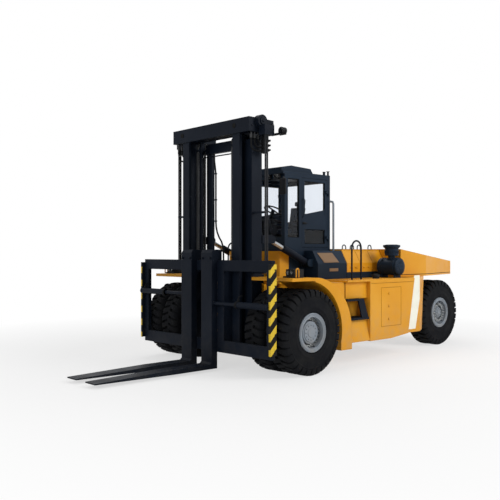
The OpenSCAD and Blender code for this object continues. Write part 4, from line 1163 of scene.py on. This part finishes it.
piece("headlamp_guards", guard_bm, "chassis", "body_yellow", both=True)

# %% [markdown]
# ## Side tanks, steps and deck
# The tanks are welded boxes. Their sides show a bolted panel, and the deck on top has a raised edge, a
# filler cap and grip studs. Thin panels close the recess behind the black steps, which are gratings, so
# that snow and oil fall through. The panels' seams are thin tubes in a darker yellow, because a painted
# line would have no depth.


# %% Panel seams and bolts on the tanks
def add_seam(bm, corners, radius):
    """A thin closed line round a panel."""
    for start, end in zip(corners, corners[1:] + corners[:1]):
        add_tube(bm, [start, end], radius, 6)


TANK_SIDE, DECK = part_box("side_tank_left")[1].yz
PANEL = ((-3.013, 0.74), (-2.30, 0.74), (-2.30, 1.56), (-3.013, 1.56))
PANEL_BOLTS, PANEL_BOLT_STEP = 3, 0.27
seam_bm, bolt_bm, panel_bolt = new_shapes(3)
add_seam(seam_bm, [at(ahead, TANK_SIDE, up) for ahead, up in PANEL], 0.005)
add_seam(seam_bm, [at(ahead, TANK_SIDE, DECK - 0.075) for ahead in (-3.50, -1.95)], 0.004)
piece("tank_gaskets", seam_bm, "chassis", "body_yellow", "seam_yellow", both=True)

add_rod(panel_bolt, (0, 0, 0), (0, 0.014, 0), 0.020, 6)
add_rod(panel_bolt, (0, 0, 0), (0, 0.005, 0), 0.030, 20)
bolts = repeat(row_tree, panel_bolt, "body_yellow", PANEL_BOLTS, (0, 0, PANEL_BOLT_STEP))
add_mesh(bolt_bm, bolts, at(-2.568, TANK_SIDE, 0.890))
piece("tank_bolts", bolt_bm, "chassis", "body_yellow", both=True)

# %% Panels round the steps
RECESS_FRONT, RECESS_BACK = -1.215, -1.921
STEP_TOP, STEP_FOOT = 1.361, 0.931
PANEL_Y, SHEET = 1.905, 0.012
SKIRT_Y, SKIRT_OUT, SKIRT_LOW = 1.890, 1.982, 0.486
UNDER_DECK = DECK - 0.029
recess_bm = bmesh.new()
add_block(recess_bm, at(RECESS_BACK, PANEL_Y, STEP_TOP), at(RECESS_FRONT, PANEL_Y + SHEET, UNDER_DECK), 0.003)
skirt = [at(RECESS_BACK, SKIRT_Y, STEP_FOOT), at(RECESS_FRONT, SKIRT_Y, STEP_FOOT)]
skirt += [at(RECESS_FRONT, SKIRT_OUT, SKIRT_LOW), at(RECESS_BACK, SKIRT_OUT, SKIRT_LOW)]
add_plate(recess_bm, skirt, LEFT, SHEET)

FENDER_BACK, FENDER_R = -1.180, 1.090
GUSSET_FROM, GUSSET_TO = 163, 118.5
GUSSET_EDGE = FENDER_BACK - 0.005
fender_mid = at(FENDER_BACK + FENDER_R, PANEL_Y, 0.740)
gusset = arc(fender_mid, FENDER_R - 0.004, GUSSET_FROM, GUSSET_TO, 10)
gusset += [at(GUSSET_EDGE, PANEL_Y, gusset[-1].z), at(GUSSET_EDGE, PANEL_Y, gusset[0].z)]
add_plate(recess_bm, gusset, LEFT, SHEET)
bridge = at(RECESS_FRONT - 0.01, 1.170, UNDER_DECK - 0.014), at(-0.610, PANEL_Y, UNDER_DECK)
add_block(recess_bm, *bridge, 0.003)
piece("step_panels", recess_bm, "chassis", "body_yellow", both=True)

# %% Deck edge, filler cap and grip studs
edge_bm, cap_bm, grip_bm, stud = new_shapes(4)
add_tube(edge_bm, [at(ahead, TANK_SIDE - 0.012, DECK + 0.004) for ahead in (-1.20, -3.52)], 0.012, 8)
piece("deck_edges", edge_bm, "chassis", "body_yellow", both=True)
filler = at(-2.62, 1.62, DECK)
add_rod(cap_bm, filler, filler + 0.05 * UP, 0.075, 32)
add_rod(cap_bm, filler + 0.05 * UP, filler + 0.085 * UP, 0.092, 20, 0.086)
add_box(cap_bm, filler + 0.095 * UP, (0.07, 0.012, 0.01), 0.005)
piece("tank_fillers", cap_bm, "chassis", "dark_plastic", both=True)
STUD_STEP, STUD_ROWS, STUDS = 0.06, 9, 19
add_block(stud, (-0.020, -0.005, 0), (0.020, 0.005, 0.005))
stud_row = repeat(row_tree, stud, "body_yellow", STUDS, (-STUD_STEP, 0, 0))
for k in range(STUD_ROWS):
    shift = STUD_STEP / 2 if k % 2 else 0.0
    add_mesh(grip_bm, stud_row, at(-1.30 - shift, 1.30 + STUD_STEP * k, DECK))
piece("deck_grip", grip_bm, "chassis", "body_yellow", both=True)

# %% Step gratings
TOOTH_STEP = 0.04
grate_bm = bmesh.new()
for height, length in ((0.970, 0.70), (1.360, 0.46)):
    tooth = bmesh.new()
    add_block(tooth, (-0.006, 0, 0), (0.006, 0.27, 0.012))
    teeth = repeat(row_tree, tooth, "cab_black", int(length / TOOTH_STEP), (-TOOTH_STEP, 0, 0))
    add_mesh(grate_bm, teeth, at(-1.205, TANK_SIDE - 0.32, height - 0.002))
piece("step_teeth", grate_bm, "chassis", "cab_black", both=True)

# %% [markdown]
# ## Pillars and counterweight
# A pale strip marks the corner pillar on each side, a dark seam shows where the cast counterweight sits on
# the frame, and lifting eyes stand on its top. The strip could be paint on the solid, but a thin plate
# keeps its edge crisp. The flat sides stay bare. The tail carries lamps, and slots in the hood lid let hot
# air out.

# %% Pale strips, seams and lifting eyes
STRIP = ((-3.318, 0.600), (-3.626, 0.600), (-3.795, 1.259), (-3.795, 1.790), (-3.592, 1.790), (-3.553, 1.722))
strip_bm, seam_bm, eye_bm = new_shapes(3)
add_plate(strip_bm, [at(ahead, TANK_SIDE - 0.040, up) for ahead, up in STRIP], LEFT, 0.004)
piece("pillar_strips", strip_bm, "chassis", "body_yellow", "pale_strip", both=True)

weight_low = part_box("counterweight")[0]
seam_up = weight_low.z + 0.045
WEIGHT_CORNER = (-4.62, 1.60)
for start, end in (((-3.60, 1.60), WEIGHT_CORNER), (WEIGHT_CORNER, (-6.36, 1.203))):
    add_tube(seam_bm, [at(*start, seam_up), at(*end, seam_up)], 0.007, 6)
piece("weight_seams", seam_bm, "chassis", "body_yellow", "dark_seam_and_shade", both=True)

for ahead, left, up in ((-3.90, 1.05, 2.330), (-5.70, 0.80, 2.135)):
    foot = at(ahead, left, up)
    add_box(eye_bm, foot + 0.005 * UP, (0.09, 0.022, 0.025), 0.004)
    add_tube(eye_bm, arc(foot + 0.03 * UP, 0.055, 0, 180, 12), 0.019)
piece("lifting_eyes", eye_bm, "chassis", "body_yellow", both=True)

# %% Tail lamps and air slots
tail_bm, tail_lens_bm, slot_bm, one_slot = new_shapes(4)
for left, inset in ((0.36, 0.012), (0.46, 0.030)):
    face = Vector((weight_low.x + inset, left, weight_low.z + 0.16))
    add_rod(tail_bm, face + 0.03 * AHEAD, face - 0.014 * AHEAD, 0.046, 28)
    add_rod(tail_lens_bm, face - 0.012 * AHEAD, face - 0.022 * AHEAD, 0.038, 28, 0.030)
piece("tail_lamp_shells", tail_bm, "chassis", "lamp", both=True)
piece("tail_lamp_lenses", tail_lens_bm, "chassis", "lamp", "red_lens", both=True)

LID_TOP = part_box("hood_lid")[1].z
LID_SLOTS, SLOT_STEP = 9, 0.07
add_block(one_slot, (-0.34, -0.012, -0.006), (0.34, 0.012, 0.004), 0.003)
# each slot is a flat dark block on the lid: painted shade for the opening
slots = repeat(row_tree, one_slot, "dark_seam_and_shade", LID_SLOTS, (0, SLOT_STEP, 0))
add_mesh(slot_bm, slots, at(-3.10, -0.28, LID_TOP))
piece("lid_slots", slot_bm, "hood_lid", "body_yellow", "dark_seam_and_shade")

# %% [markdown]
# ## Hood and air filter
# The hood sides are doors with flush latches, and their seams show as darker lines. The filter has straps
# with clamps, a ribbed end cover, and a mushroom hat with a flared rim that keeps rain out. Its ribs and
# fins are turned by the ring tree, since carving them would be slow.

# %% Hood seams and latches
HOOD_SIDE = 1.165
hood_bm, latch_bm = new_shapes(2)
for ahead, foot_up in ((-2.66, 1.90), (-3.12, 1.90), (-2.20, 1.88), (-3.57, 1.88)):
    seam = [at(ahead, HOOD_SIDE, foot_up), at(ahead, HOOD_SIDE, 2.068), at(ahead, 1.012, 2.338)]
    add_tube(hood_bm, seam, 0.005, 6)
piece("hood_seams", hood_bm, "chassis", "body_yellow", "seam_yellow", both=True)
for ahead in (-2.36, -2.52, -2.80, -2.98):
    spot = at(ahead, HOOD_SIDE, 1.975)
    add_box(latch_bm, spot + 0.003 * LEFT, (0.045, 0.007, 0.022), 0.004)
    knob = spot + 0.02 * AHEAD
    add_rod(latch_bm, knob + 0.008 * LEFT, knob + 0.020 * LEFT, 0.012, 16)
piece("hood_latches", latch_bm, "chassis", "body_yellow", both=True)

# %% Air filter straps and hat
FILTER_AHEAD = -3.290
STRAP_IN, STRAP_OUT, STRAP_WIDE = 0.188, 0.197, 0.03
RIBS, FINS = 18, 24
COVER = (
    (0.001, 1.800), (0.060, 1.800), (0.070, 1.792), (0.150, 1.792),
    (0.165, 1.786), (0.185, 1.780), (0.001, 1.776),
)
# foot, top and the radius at each
HAT = ((2.235, 2.250, 0.156, 0.156), (2.39, 2.44, 0.151, 0.196), (2.465, 2.482, 0.192, 0.120))
filter_middle, hat = at(FILTER_AHEAD, 0, 1.985), at(FILTER_AHEAD, 1.560, 0)
filter_bm, rib, fin = new_shapes(3)
add_turned(filter_bm, filter_middle, COVER, 48)
for left in (1.40, 1.66):
    far = left + STRAP_WIDE
    strap = [(STRAP_IN, left), (STRAP_OUT, left), (STRAP_OUT, far), (STRAP_IN, far)]
    add_turned(filter_bm, filter_middle, strap, 48)
    knob = filter_middle + Vector((0.14, left + STRAP_WIDE / 2, 0.14))
    add_box(filter_bm, knob, (0.02, 0.012, 0.02), 0.004)
add_block(rib, (-0.006, 1.786, 0.075), (0.006, 1.796, 0.150), 0.002)
add_mesh(filter_bm, repeat(ring_tree, rib, "cab_black", RIBS), filter_middle)
for low, high, low_r, high_r in HAT:
    add_rod(filter_bm, hat + low * UP, hat + high * UP, low_r, 48, high_r)
add_block(fin, (-0.004, -0.035, 0.148), (0.004, 0.035, 0.158), 0.001)
upright = Matrix.Translation(hat + 2.31 * UP) @ Matrix.Rotation(math.pi / 2, 4, "X")
add_mesh(filter_bm, repeat(ring_tree, fin, "cab_black", FINS), upright)
piece("filter_trim", filter_bm, "chassis", "cab_black")

# %% [markdown]
# ## Driver's seat
# The seat is foam under woven cloth: a cushion, a backrest and a headrest, on a sprung base with a rubber
# bellows. A rounded box would look hard. Each pad starts as a slightly small box, is remeshed into even
# faces, and is blown up like a pillow by Blender's cloth, with its movement capped, so that its faces crown
# and its edges stay put.

# %% Blowing up a pad
PUFF_CAP = 0.016
PUFF_FRAMES = 20
PUFF_PRESSURE = 4.0


def take_mesh(obj, mesh):
    """Gives obj a finished mesh and drops its modifiers."""
    obj.modifiers.clear()
    old = obj.data
    obj.data = mesh
    bpy.data.meshes.remove(old)


def puff(obj):
    """Blows a pad up with cloth pressure, no point further than the cap."""
    rest = [vertex.co.copy() for vertex in obj.data.vertices]
    cloth = obj.modifiers.new("puff", "CLOTH")
    cloth.settings.use_pressure = True
    cloth.settings.uniform_pressure_force = PUFF_PRESSURE
    cloth.settings.effector_weights.gravity = 0.0
    cloth.point_cache.frame_end = PUFF_FRAMES
    for step in range(1, PUFF_FRAMES + 1):
        scene.frame_set(step)
    blown = evaluated_mesh(obj)
    for vertex, start in zip(blown.vertices, rest):
        move = vertex.co - start
        if move.length > PUFF_CAP:
            vertex.co = start + move.normalized() * PUFF_CAP
    take_mesh(obj, blown)
    scene.frame_set(1)


# %% Making a pad
PAD_VOXEL = 0.011
PAD_ROUND = 0.6
PUFF_ROOM = 0.7 * Vector((PUFF_CAP, PUFF_CAP, PUFF_CAP))


def pad(name, size, place, body):
    """A stuffed pad of that size, turned and moved to place."""
    bm = bmesh.new()
    half = Vector(size) / 2 - PUFF_ROOM
    add_block(bm, -half, half, min(half) * PAD_ROUND)
    bmesh.ops.transform(bm, matrix=place, verts=bm.verts)
    obj = bpy.data.objects.new(name, mesh_of(bm, name))
    scene.collection.objects.link(obj)
    even = obj.modifiers.new("even", "REMESH")
    even.mode = "VOXEL"
    even.voxel_size = PAD_VOXEL
    take_mesh(obj, evaluated_mesh(obj))
    puff(obj)
    smooth = obj.modifiers.new("round", "SUBSURF")
    smooth.levels = 1
    smooth.render_levels = 1
    take_mesh(obj, evaluated_mesh(obj))
    obj.data.shade_smooth()
    obj.data.materials.clear()
    obj.data.materials.append(finish["seat_cloth"])
    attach(obj, body)
    print(name, "has", len(obj.data.polygons), "faces")


# %% Cushion, backrest and headrest
CAB_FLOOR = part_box("seat")[0].z
SEAT_TOP = CAB_FLOOR + 0.440
BACK_LEAN = -10
lean = Matrix.Rotation(math.radians(BACK_LEAN), 4, "Y")
cushion_middle = Matrix.Translation(at(-1.615, 0, SEAT_TOP - 0.065))
back_middle = Matrix.Translation(at(-1.850, 0, SEAT_TOP + 0.265))
head_middle = Matrix.Translation(at(-1.918, 0, SEAT_TOP + 0.575))
pad("seat_cushion", (0.46, 0.49, 0.135), cushion_middle, "chassis")
pad("seat_back", (0.115, 0.45, 0.50), back_middle @ lean, "chassis")
pad("seat_head", (0.095, 0.26, 0.125), head_middle @ lean, "chassis")

# %% Seat base, bellows and arm rests
FOLD, FOLDS = 0.042, 5
base_bm = bmesh.new()
add_block(base_bm, at(-1.800, -0.19, CAB_FLOOR), at(-1.430, 0.19, CAB_FLOOR + 0.05), 0.008)
for k in range(FOLDS):
    foot = CAB_FLOOR + 0.055 + FOLD * k
    inset = 0.012 if k % 2 else 0.0
    low, high = at(-1.780 + inset, -0.17 + inset, foot), at(-1.450 - inset, 0.17 - inset, foot + FOLD)
    add_block(base_bm, low, high, 0.01)
add_block(base_bm, at(-1.830, -0.22, CAB_FLOOR + 0.265), at(-1.400, 0.22, CAB_FLOOR + 0.312), 0.012)
for left in (-0.06, 0.06):
    add_rod(base_bm, at(-1.905, left, SEAT_TOP + 0.47), at(-1.920, left, SEAT_TOP + 0.56), 0.008, 12)
for left in (-0.27, 0.27):
    add_box(base_bm, at(-1.62, left, SEAT_TOP + 0.155), (0.16, 0.03, 0.025), 0.015)
    add_box(base_bm, at(-1.775, left, SEAT_TOP + 0.03), (0.025, 0.015, 0.13), 0.008)
piece("seat_base", base_bm, "chassis", "dark_plastic", replaces=["seat"])

# %% [markdown]
# ## Controls
# The steering wheel and its column are solids already. Around them go a dashboard with round gauges, a
# lever for the direction, two pedals and a side box with the lift levers. They could be pictures on a
# plate, but they show through the glass from the side. They don't move here, since small controls have no
# joints.

# %% Dashboard, levers and pedals
LEVERS, LEVER_STEP = 4, 0.075
dash_bm, gauge_bm = new_shapes(2)
add_block(dash_bm, at(-0.955, -0.28, 2.90), at(-0.770, 0.28, 3.02), 0.03)
add_block(dash_bm, at(-1.000, -0.16, 2.86), at(-0.940, 0.16, 2.98), 0.015)
add_block(dash_bm, at(-1.860, -0.46, CAB_FLOOR), at(-1.350, -0.32, CAB_FLOOR + 0.52), 0.03)
for k in range(LEVERS):
    foot = at(-1.46 - LEVER_STEP * k, -0.39, CAB_FLOOR + 0.51)
    add_rod(dash_bm, foot, foot + Vector((0.01, 0, 0.11)), 0.007, 10)
    add_rod(dash_bm, foot + Vector((0.010, 0, 0.10)), foot + Vector((0.012, 0, 0.145)), 0.019, 16, 0.015)
add_tube(dash_bm, [at(-1.05, 0.03, 3.10), at(-1.06, 0.12, 3.13), at(-1.07, 0.20, 3.15)], 0.008)
for left in (-0.13, 0.13):
    add_box(dash_bm, at(-1.005, left, CAB_FLOOR + 0.11), (0.015, 0.05, 0.08), 0.006)
piece("dashboard", dash_bm, "chassis", "dark_plastic")
for left in (-0.10, 0.0, 0.10):
    face = at(-1.000, left, 2.925)
    add_rod(gauge_bm, face, face - 0.008 * AHEAD, 0.038, 28)
piece("gauges", gauge_bm, "chassis", "dark_plastic", "pale_strip")

# %% [markdown]
# ## Cab outside
# Rubber gaskets hold the panes, a wiper rests on the windscreen, a mirror hangs on the left front pillar
# and work lamps sit under the roof's peak. Each door has a handle, a bent grab bar and a black belt along
# the lower edge of its window, which rises to the rear. Pale rails stand behind the doors. Gaskets are thin
# square frames, drawn once for each pane: four blocks are plainer than a pane with a hole cut in it.


# %% Gaskets round the panes
def pane_frame(bm, low, high, across, lip=0.016, proud=0.004):
    """A thin frame round a pane that lies between two corners. across is the pane's thin direction."""
    wide = 1 - across
    middle = (low[across] + high[across]) / 2
    thick = (high[across] - low[across]) / 2 + proud
    for axis, other in ((2, wide), (wide, 2)):
        for edge, inner in ((low[axis], lip), (high[axis], -lip)):
            first, last = [0, 0, 0], [0, 0, 0]
            first[across], last[across] = middle - thick, middle + thick
            first[axis], last[axis] = sorted((edge, edge + inner))
            first[other], last[other] = low[other], high[other]
            add_block(bm, first, last, 0.003)


HALF_PANE = 0.005
PANE_TOP = 3.86
SCREEN_HALF = 0.63
SIDE_PANE = 0.690
gasket_bm = bmesh.new()
for ahead, foot in ((-0.730, 2.62), (-2.120, 3.00)):
    low, high = at(ahead - HALF_PANE, -SCREEN_HALF, foot), at(ahead + HALF_PANE, SCREEN_HALF, PANE_TOP)
    pane_frame(gasket_bm, low, high, 0)
for sign in BOTH_SIDES.values():
    pane = sign * SIDE_PANE
    pane_frame(gasket_bm, at(-1.144, pane - HALF_PANE, 2.62), at(-0.800, pane + HALF_PANE, PANE_TOP), 1)
piece("cab_gaskets", gasket_bm, "chassis", "cab_black", "dark_seam_and_shade")

# %% Door gaskets, belts, handles and grab bars
BELT_LOW, BELT_HIGH, BELT_END = 3.118, 3.235, 0.002
HANDLE = ((0.035, 0), (0.03, 0.035), (-0.06, 0.035), (-0.065, 0))
GRAB_BAR = (
    (-1.250, 0.717, 3.452), (-1.268, 0.752, 3.446), (-1.282, 0.766, 3.410), (-1.264, 0.766, 3.290),
    (-1.252, 0.764, 3.150), (-1.250, 0.752, 3.070), (-1.250, 0.717, 3.055),
)
for side, sign in BOTH_SIDES.items():
    door = f"cab_door_{side}"
    pane_bm, belt_bm, handle_bm, grip_bm = new_shapes(4)
    low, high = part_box(f"door_glass_{side}")
    for low_z, high_z in ((low.z, 2.80), (3.12, high.z)):
        pane_frame(pane_bm, (low.x, low.y, low_z), (high.x, high.y, high_z), 1)
    piece(f"door_gaskets_{side}", pane_bm, door, "cab_black", "dark_seam_and_shade")
    front, back = high.x + BELT_END, low.x - BELT_END
    belt = ((front, BELT_LOW), (back, BELT_LOW), (back, BELT_HIGH))
    add_plate(belt_bm, [(x, sign * 0.668, z) for x, z in belt], sign * LEFT, 0.048)
    piece(f"door_belt_{side}", belt_bm, door, "cab_black")
    spot = at(-1.300, sign * 0.720, 2.93)
    add_box(handle_bm, spot, (0.05, 0.012, 0.025), 0.005)
    add_tube(handle_bm, [spot + Vector((ahead, sign * out, 0)) for ahead, out in HANDLE], 0.009)
    piece(f"door_handle_{side}", handle_bm, door, "dark_plastic")
    add_tube(grip_bm, [at(ahead, sign * left, up) for ahead, left, up in GRAB_BAR], 0.010)
    piece(f"door_grip_{side}", grip_bm, door, "cab_black")

# %% Mirror, rails and wiper
mirror_bm, face_bm, rail_bm, wiper_bm = new_shapes(4)
hang = at(-0.520, 0.850, 3.660)
add_box(mirror_bm, hang, (0.022, 0.085, 0.165), 0.018)
add_box(face_bm, hang - 0.023 * AHEAD, (0.003, 0.070, 0.148), 0.002)
arm = [at(-0.705, 0.700, 3.800), at(-0.640, 0.76, 3.86), at(-0.560, 0.83, 3.86), at(-0.525, 0.85, 3.83)]
add_tube(mirror_bm, arm, 0.011)
piece("mirrors", mirror_bm, "chassis", "dark_plastic")
piece("mirror_faces", face_bm, "chassis", "chrome_rod", "mirror_face")
rail = [at(-2.172, 0.800, 2.335), at(-2.172, 0.800, 3.380)]
rail += [at(-2.168, 0.785, 3.425), at(-2.145, 0.712, 3.440)]
add_tube(rail_bm, rail, 0.024)
piece("cab_rails", rail_bm, "chassis", "cab_black", "rim_silver", both=True)
hub = at(-0.695, 0.12, 2.60)
add_rod(wiper_bm, hub - 0.02 * AHEAD, hub + 0.025 * AHEAD, 0.028, 20)
add_tube(wiper_bm, [hub + 0.02 * AHEAD, at(-0.665, -0.08, 3.00), at(-0.690, -0.17, 3.17)], 0.009)
add_tube(wiper_bm, [at(-0.708, -0.20, 2.90), at(-0.700, -0.17, 3.17), at(-0.708, -0.14, 3.45)], 0.008)
piece("wiper", wiper_bm, "chassis", "dark_plastic")

# %% Roof lamps and posts
roof_bm, roof_lens_bm = new_shapes(2)
for left in (0.28, 0.55):
    spot = at(-0.640, left, 3.905)
    add_box(roof_bm, spot - 0.010 * AHEAD, (0.035, 0.075, 0.045), 0.012)
    add_box(roof_lens_bm, spot + 0.0265 * AHEAD, (0.0045, 0.062, 0.034), 0.004)
for left in (0.580, 0.695):
    foot = at(-2.110, left, 4.000)
    add_box(roof_bm, foot + 0.050 * UP, (0.018, 0.015, 0.050), 0.003)
    add_box(roof_bm, foot + 0.097 * UP, (0.030, 0.026, 0.007), 0.004)
piece("roof_lamp_shells", roof_bm, "chassis", "lamp", both=True)
piece("roof_lamp_lenses", roof_lens_bm, "chassis", "lamp", "lens_clear", both=True)

# %% [markdown]
# ## Cab base
# On each side, the black base under the cab has a sloped panel and a small plate, both left blank and
# darkened with painted shade.
# They could be squares turned by an angle, but corners that are placed on the leaning shoulder follow the
# slope of the hood by themselves.

# %% Sloped panels and plates
SHOULDER, HOOD_TOP = 2.070, 2.340
LEAN_IN = 0.155
SHADED_PANEL_SHEET = 0.010


def on_slope(ahead, up):
    """A point on the leaning shoulder of the base, at that height."""
    return at(ahead, HOOD_SIDE - LEAN_IN * (up - SHOULDER) / (HOOD_TOP - SHOULDER), up)


panel_bm = bmesh.new()
panel = [on_slope(-1.447, 2.085), on_slope(-1.934, 2.085), on_slope(-1.830, 2.290), on_slope(-1.350, 2.290)]
add_plate(panel_bm, panel, (0, HOOD_TOP - SHOULDER, LEAN_IN), SHADED_PANEL_SHEET)
plate = ((-1.609, 1.90), (-1.890, 1.90), (-1.890, 1.965), (-1.609, 1.965))
add_plate(panel_bm, [at(ahead, HOOD_SIDE - 0.002, up) for ahead, up in plate], LEFT, SHADED_PANEL_SHEET)
# the panel and plate take a darker body yellow that is painted shade
piece("base_panels", panel_bm, "chassis", "body_yellow", "shaded_yellow_panel", both=True)
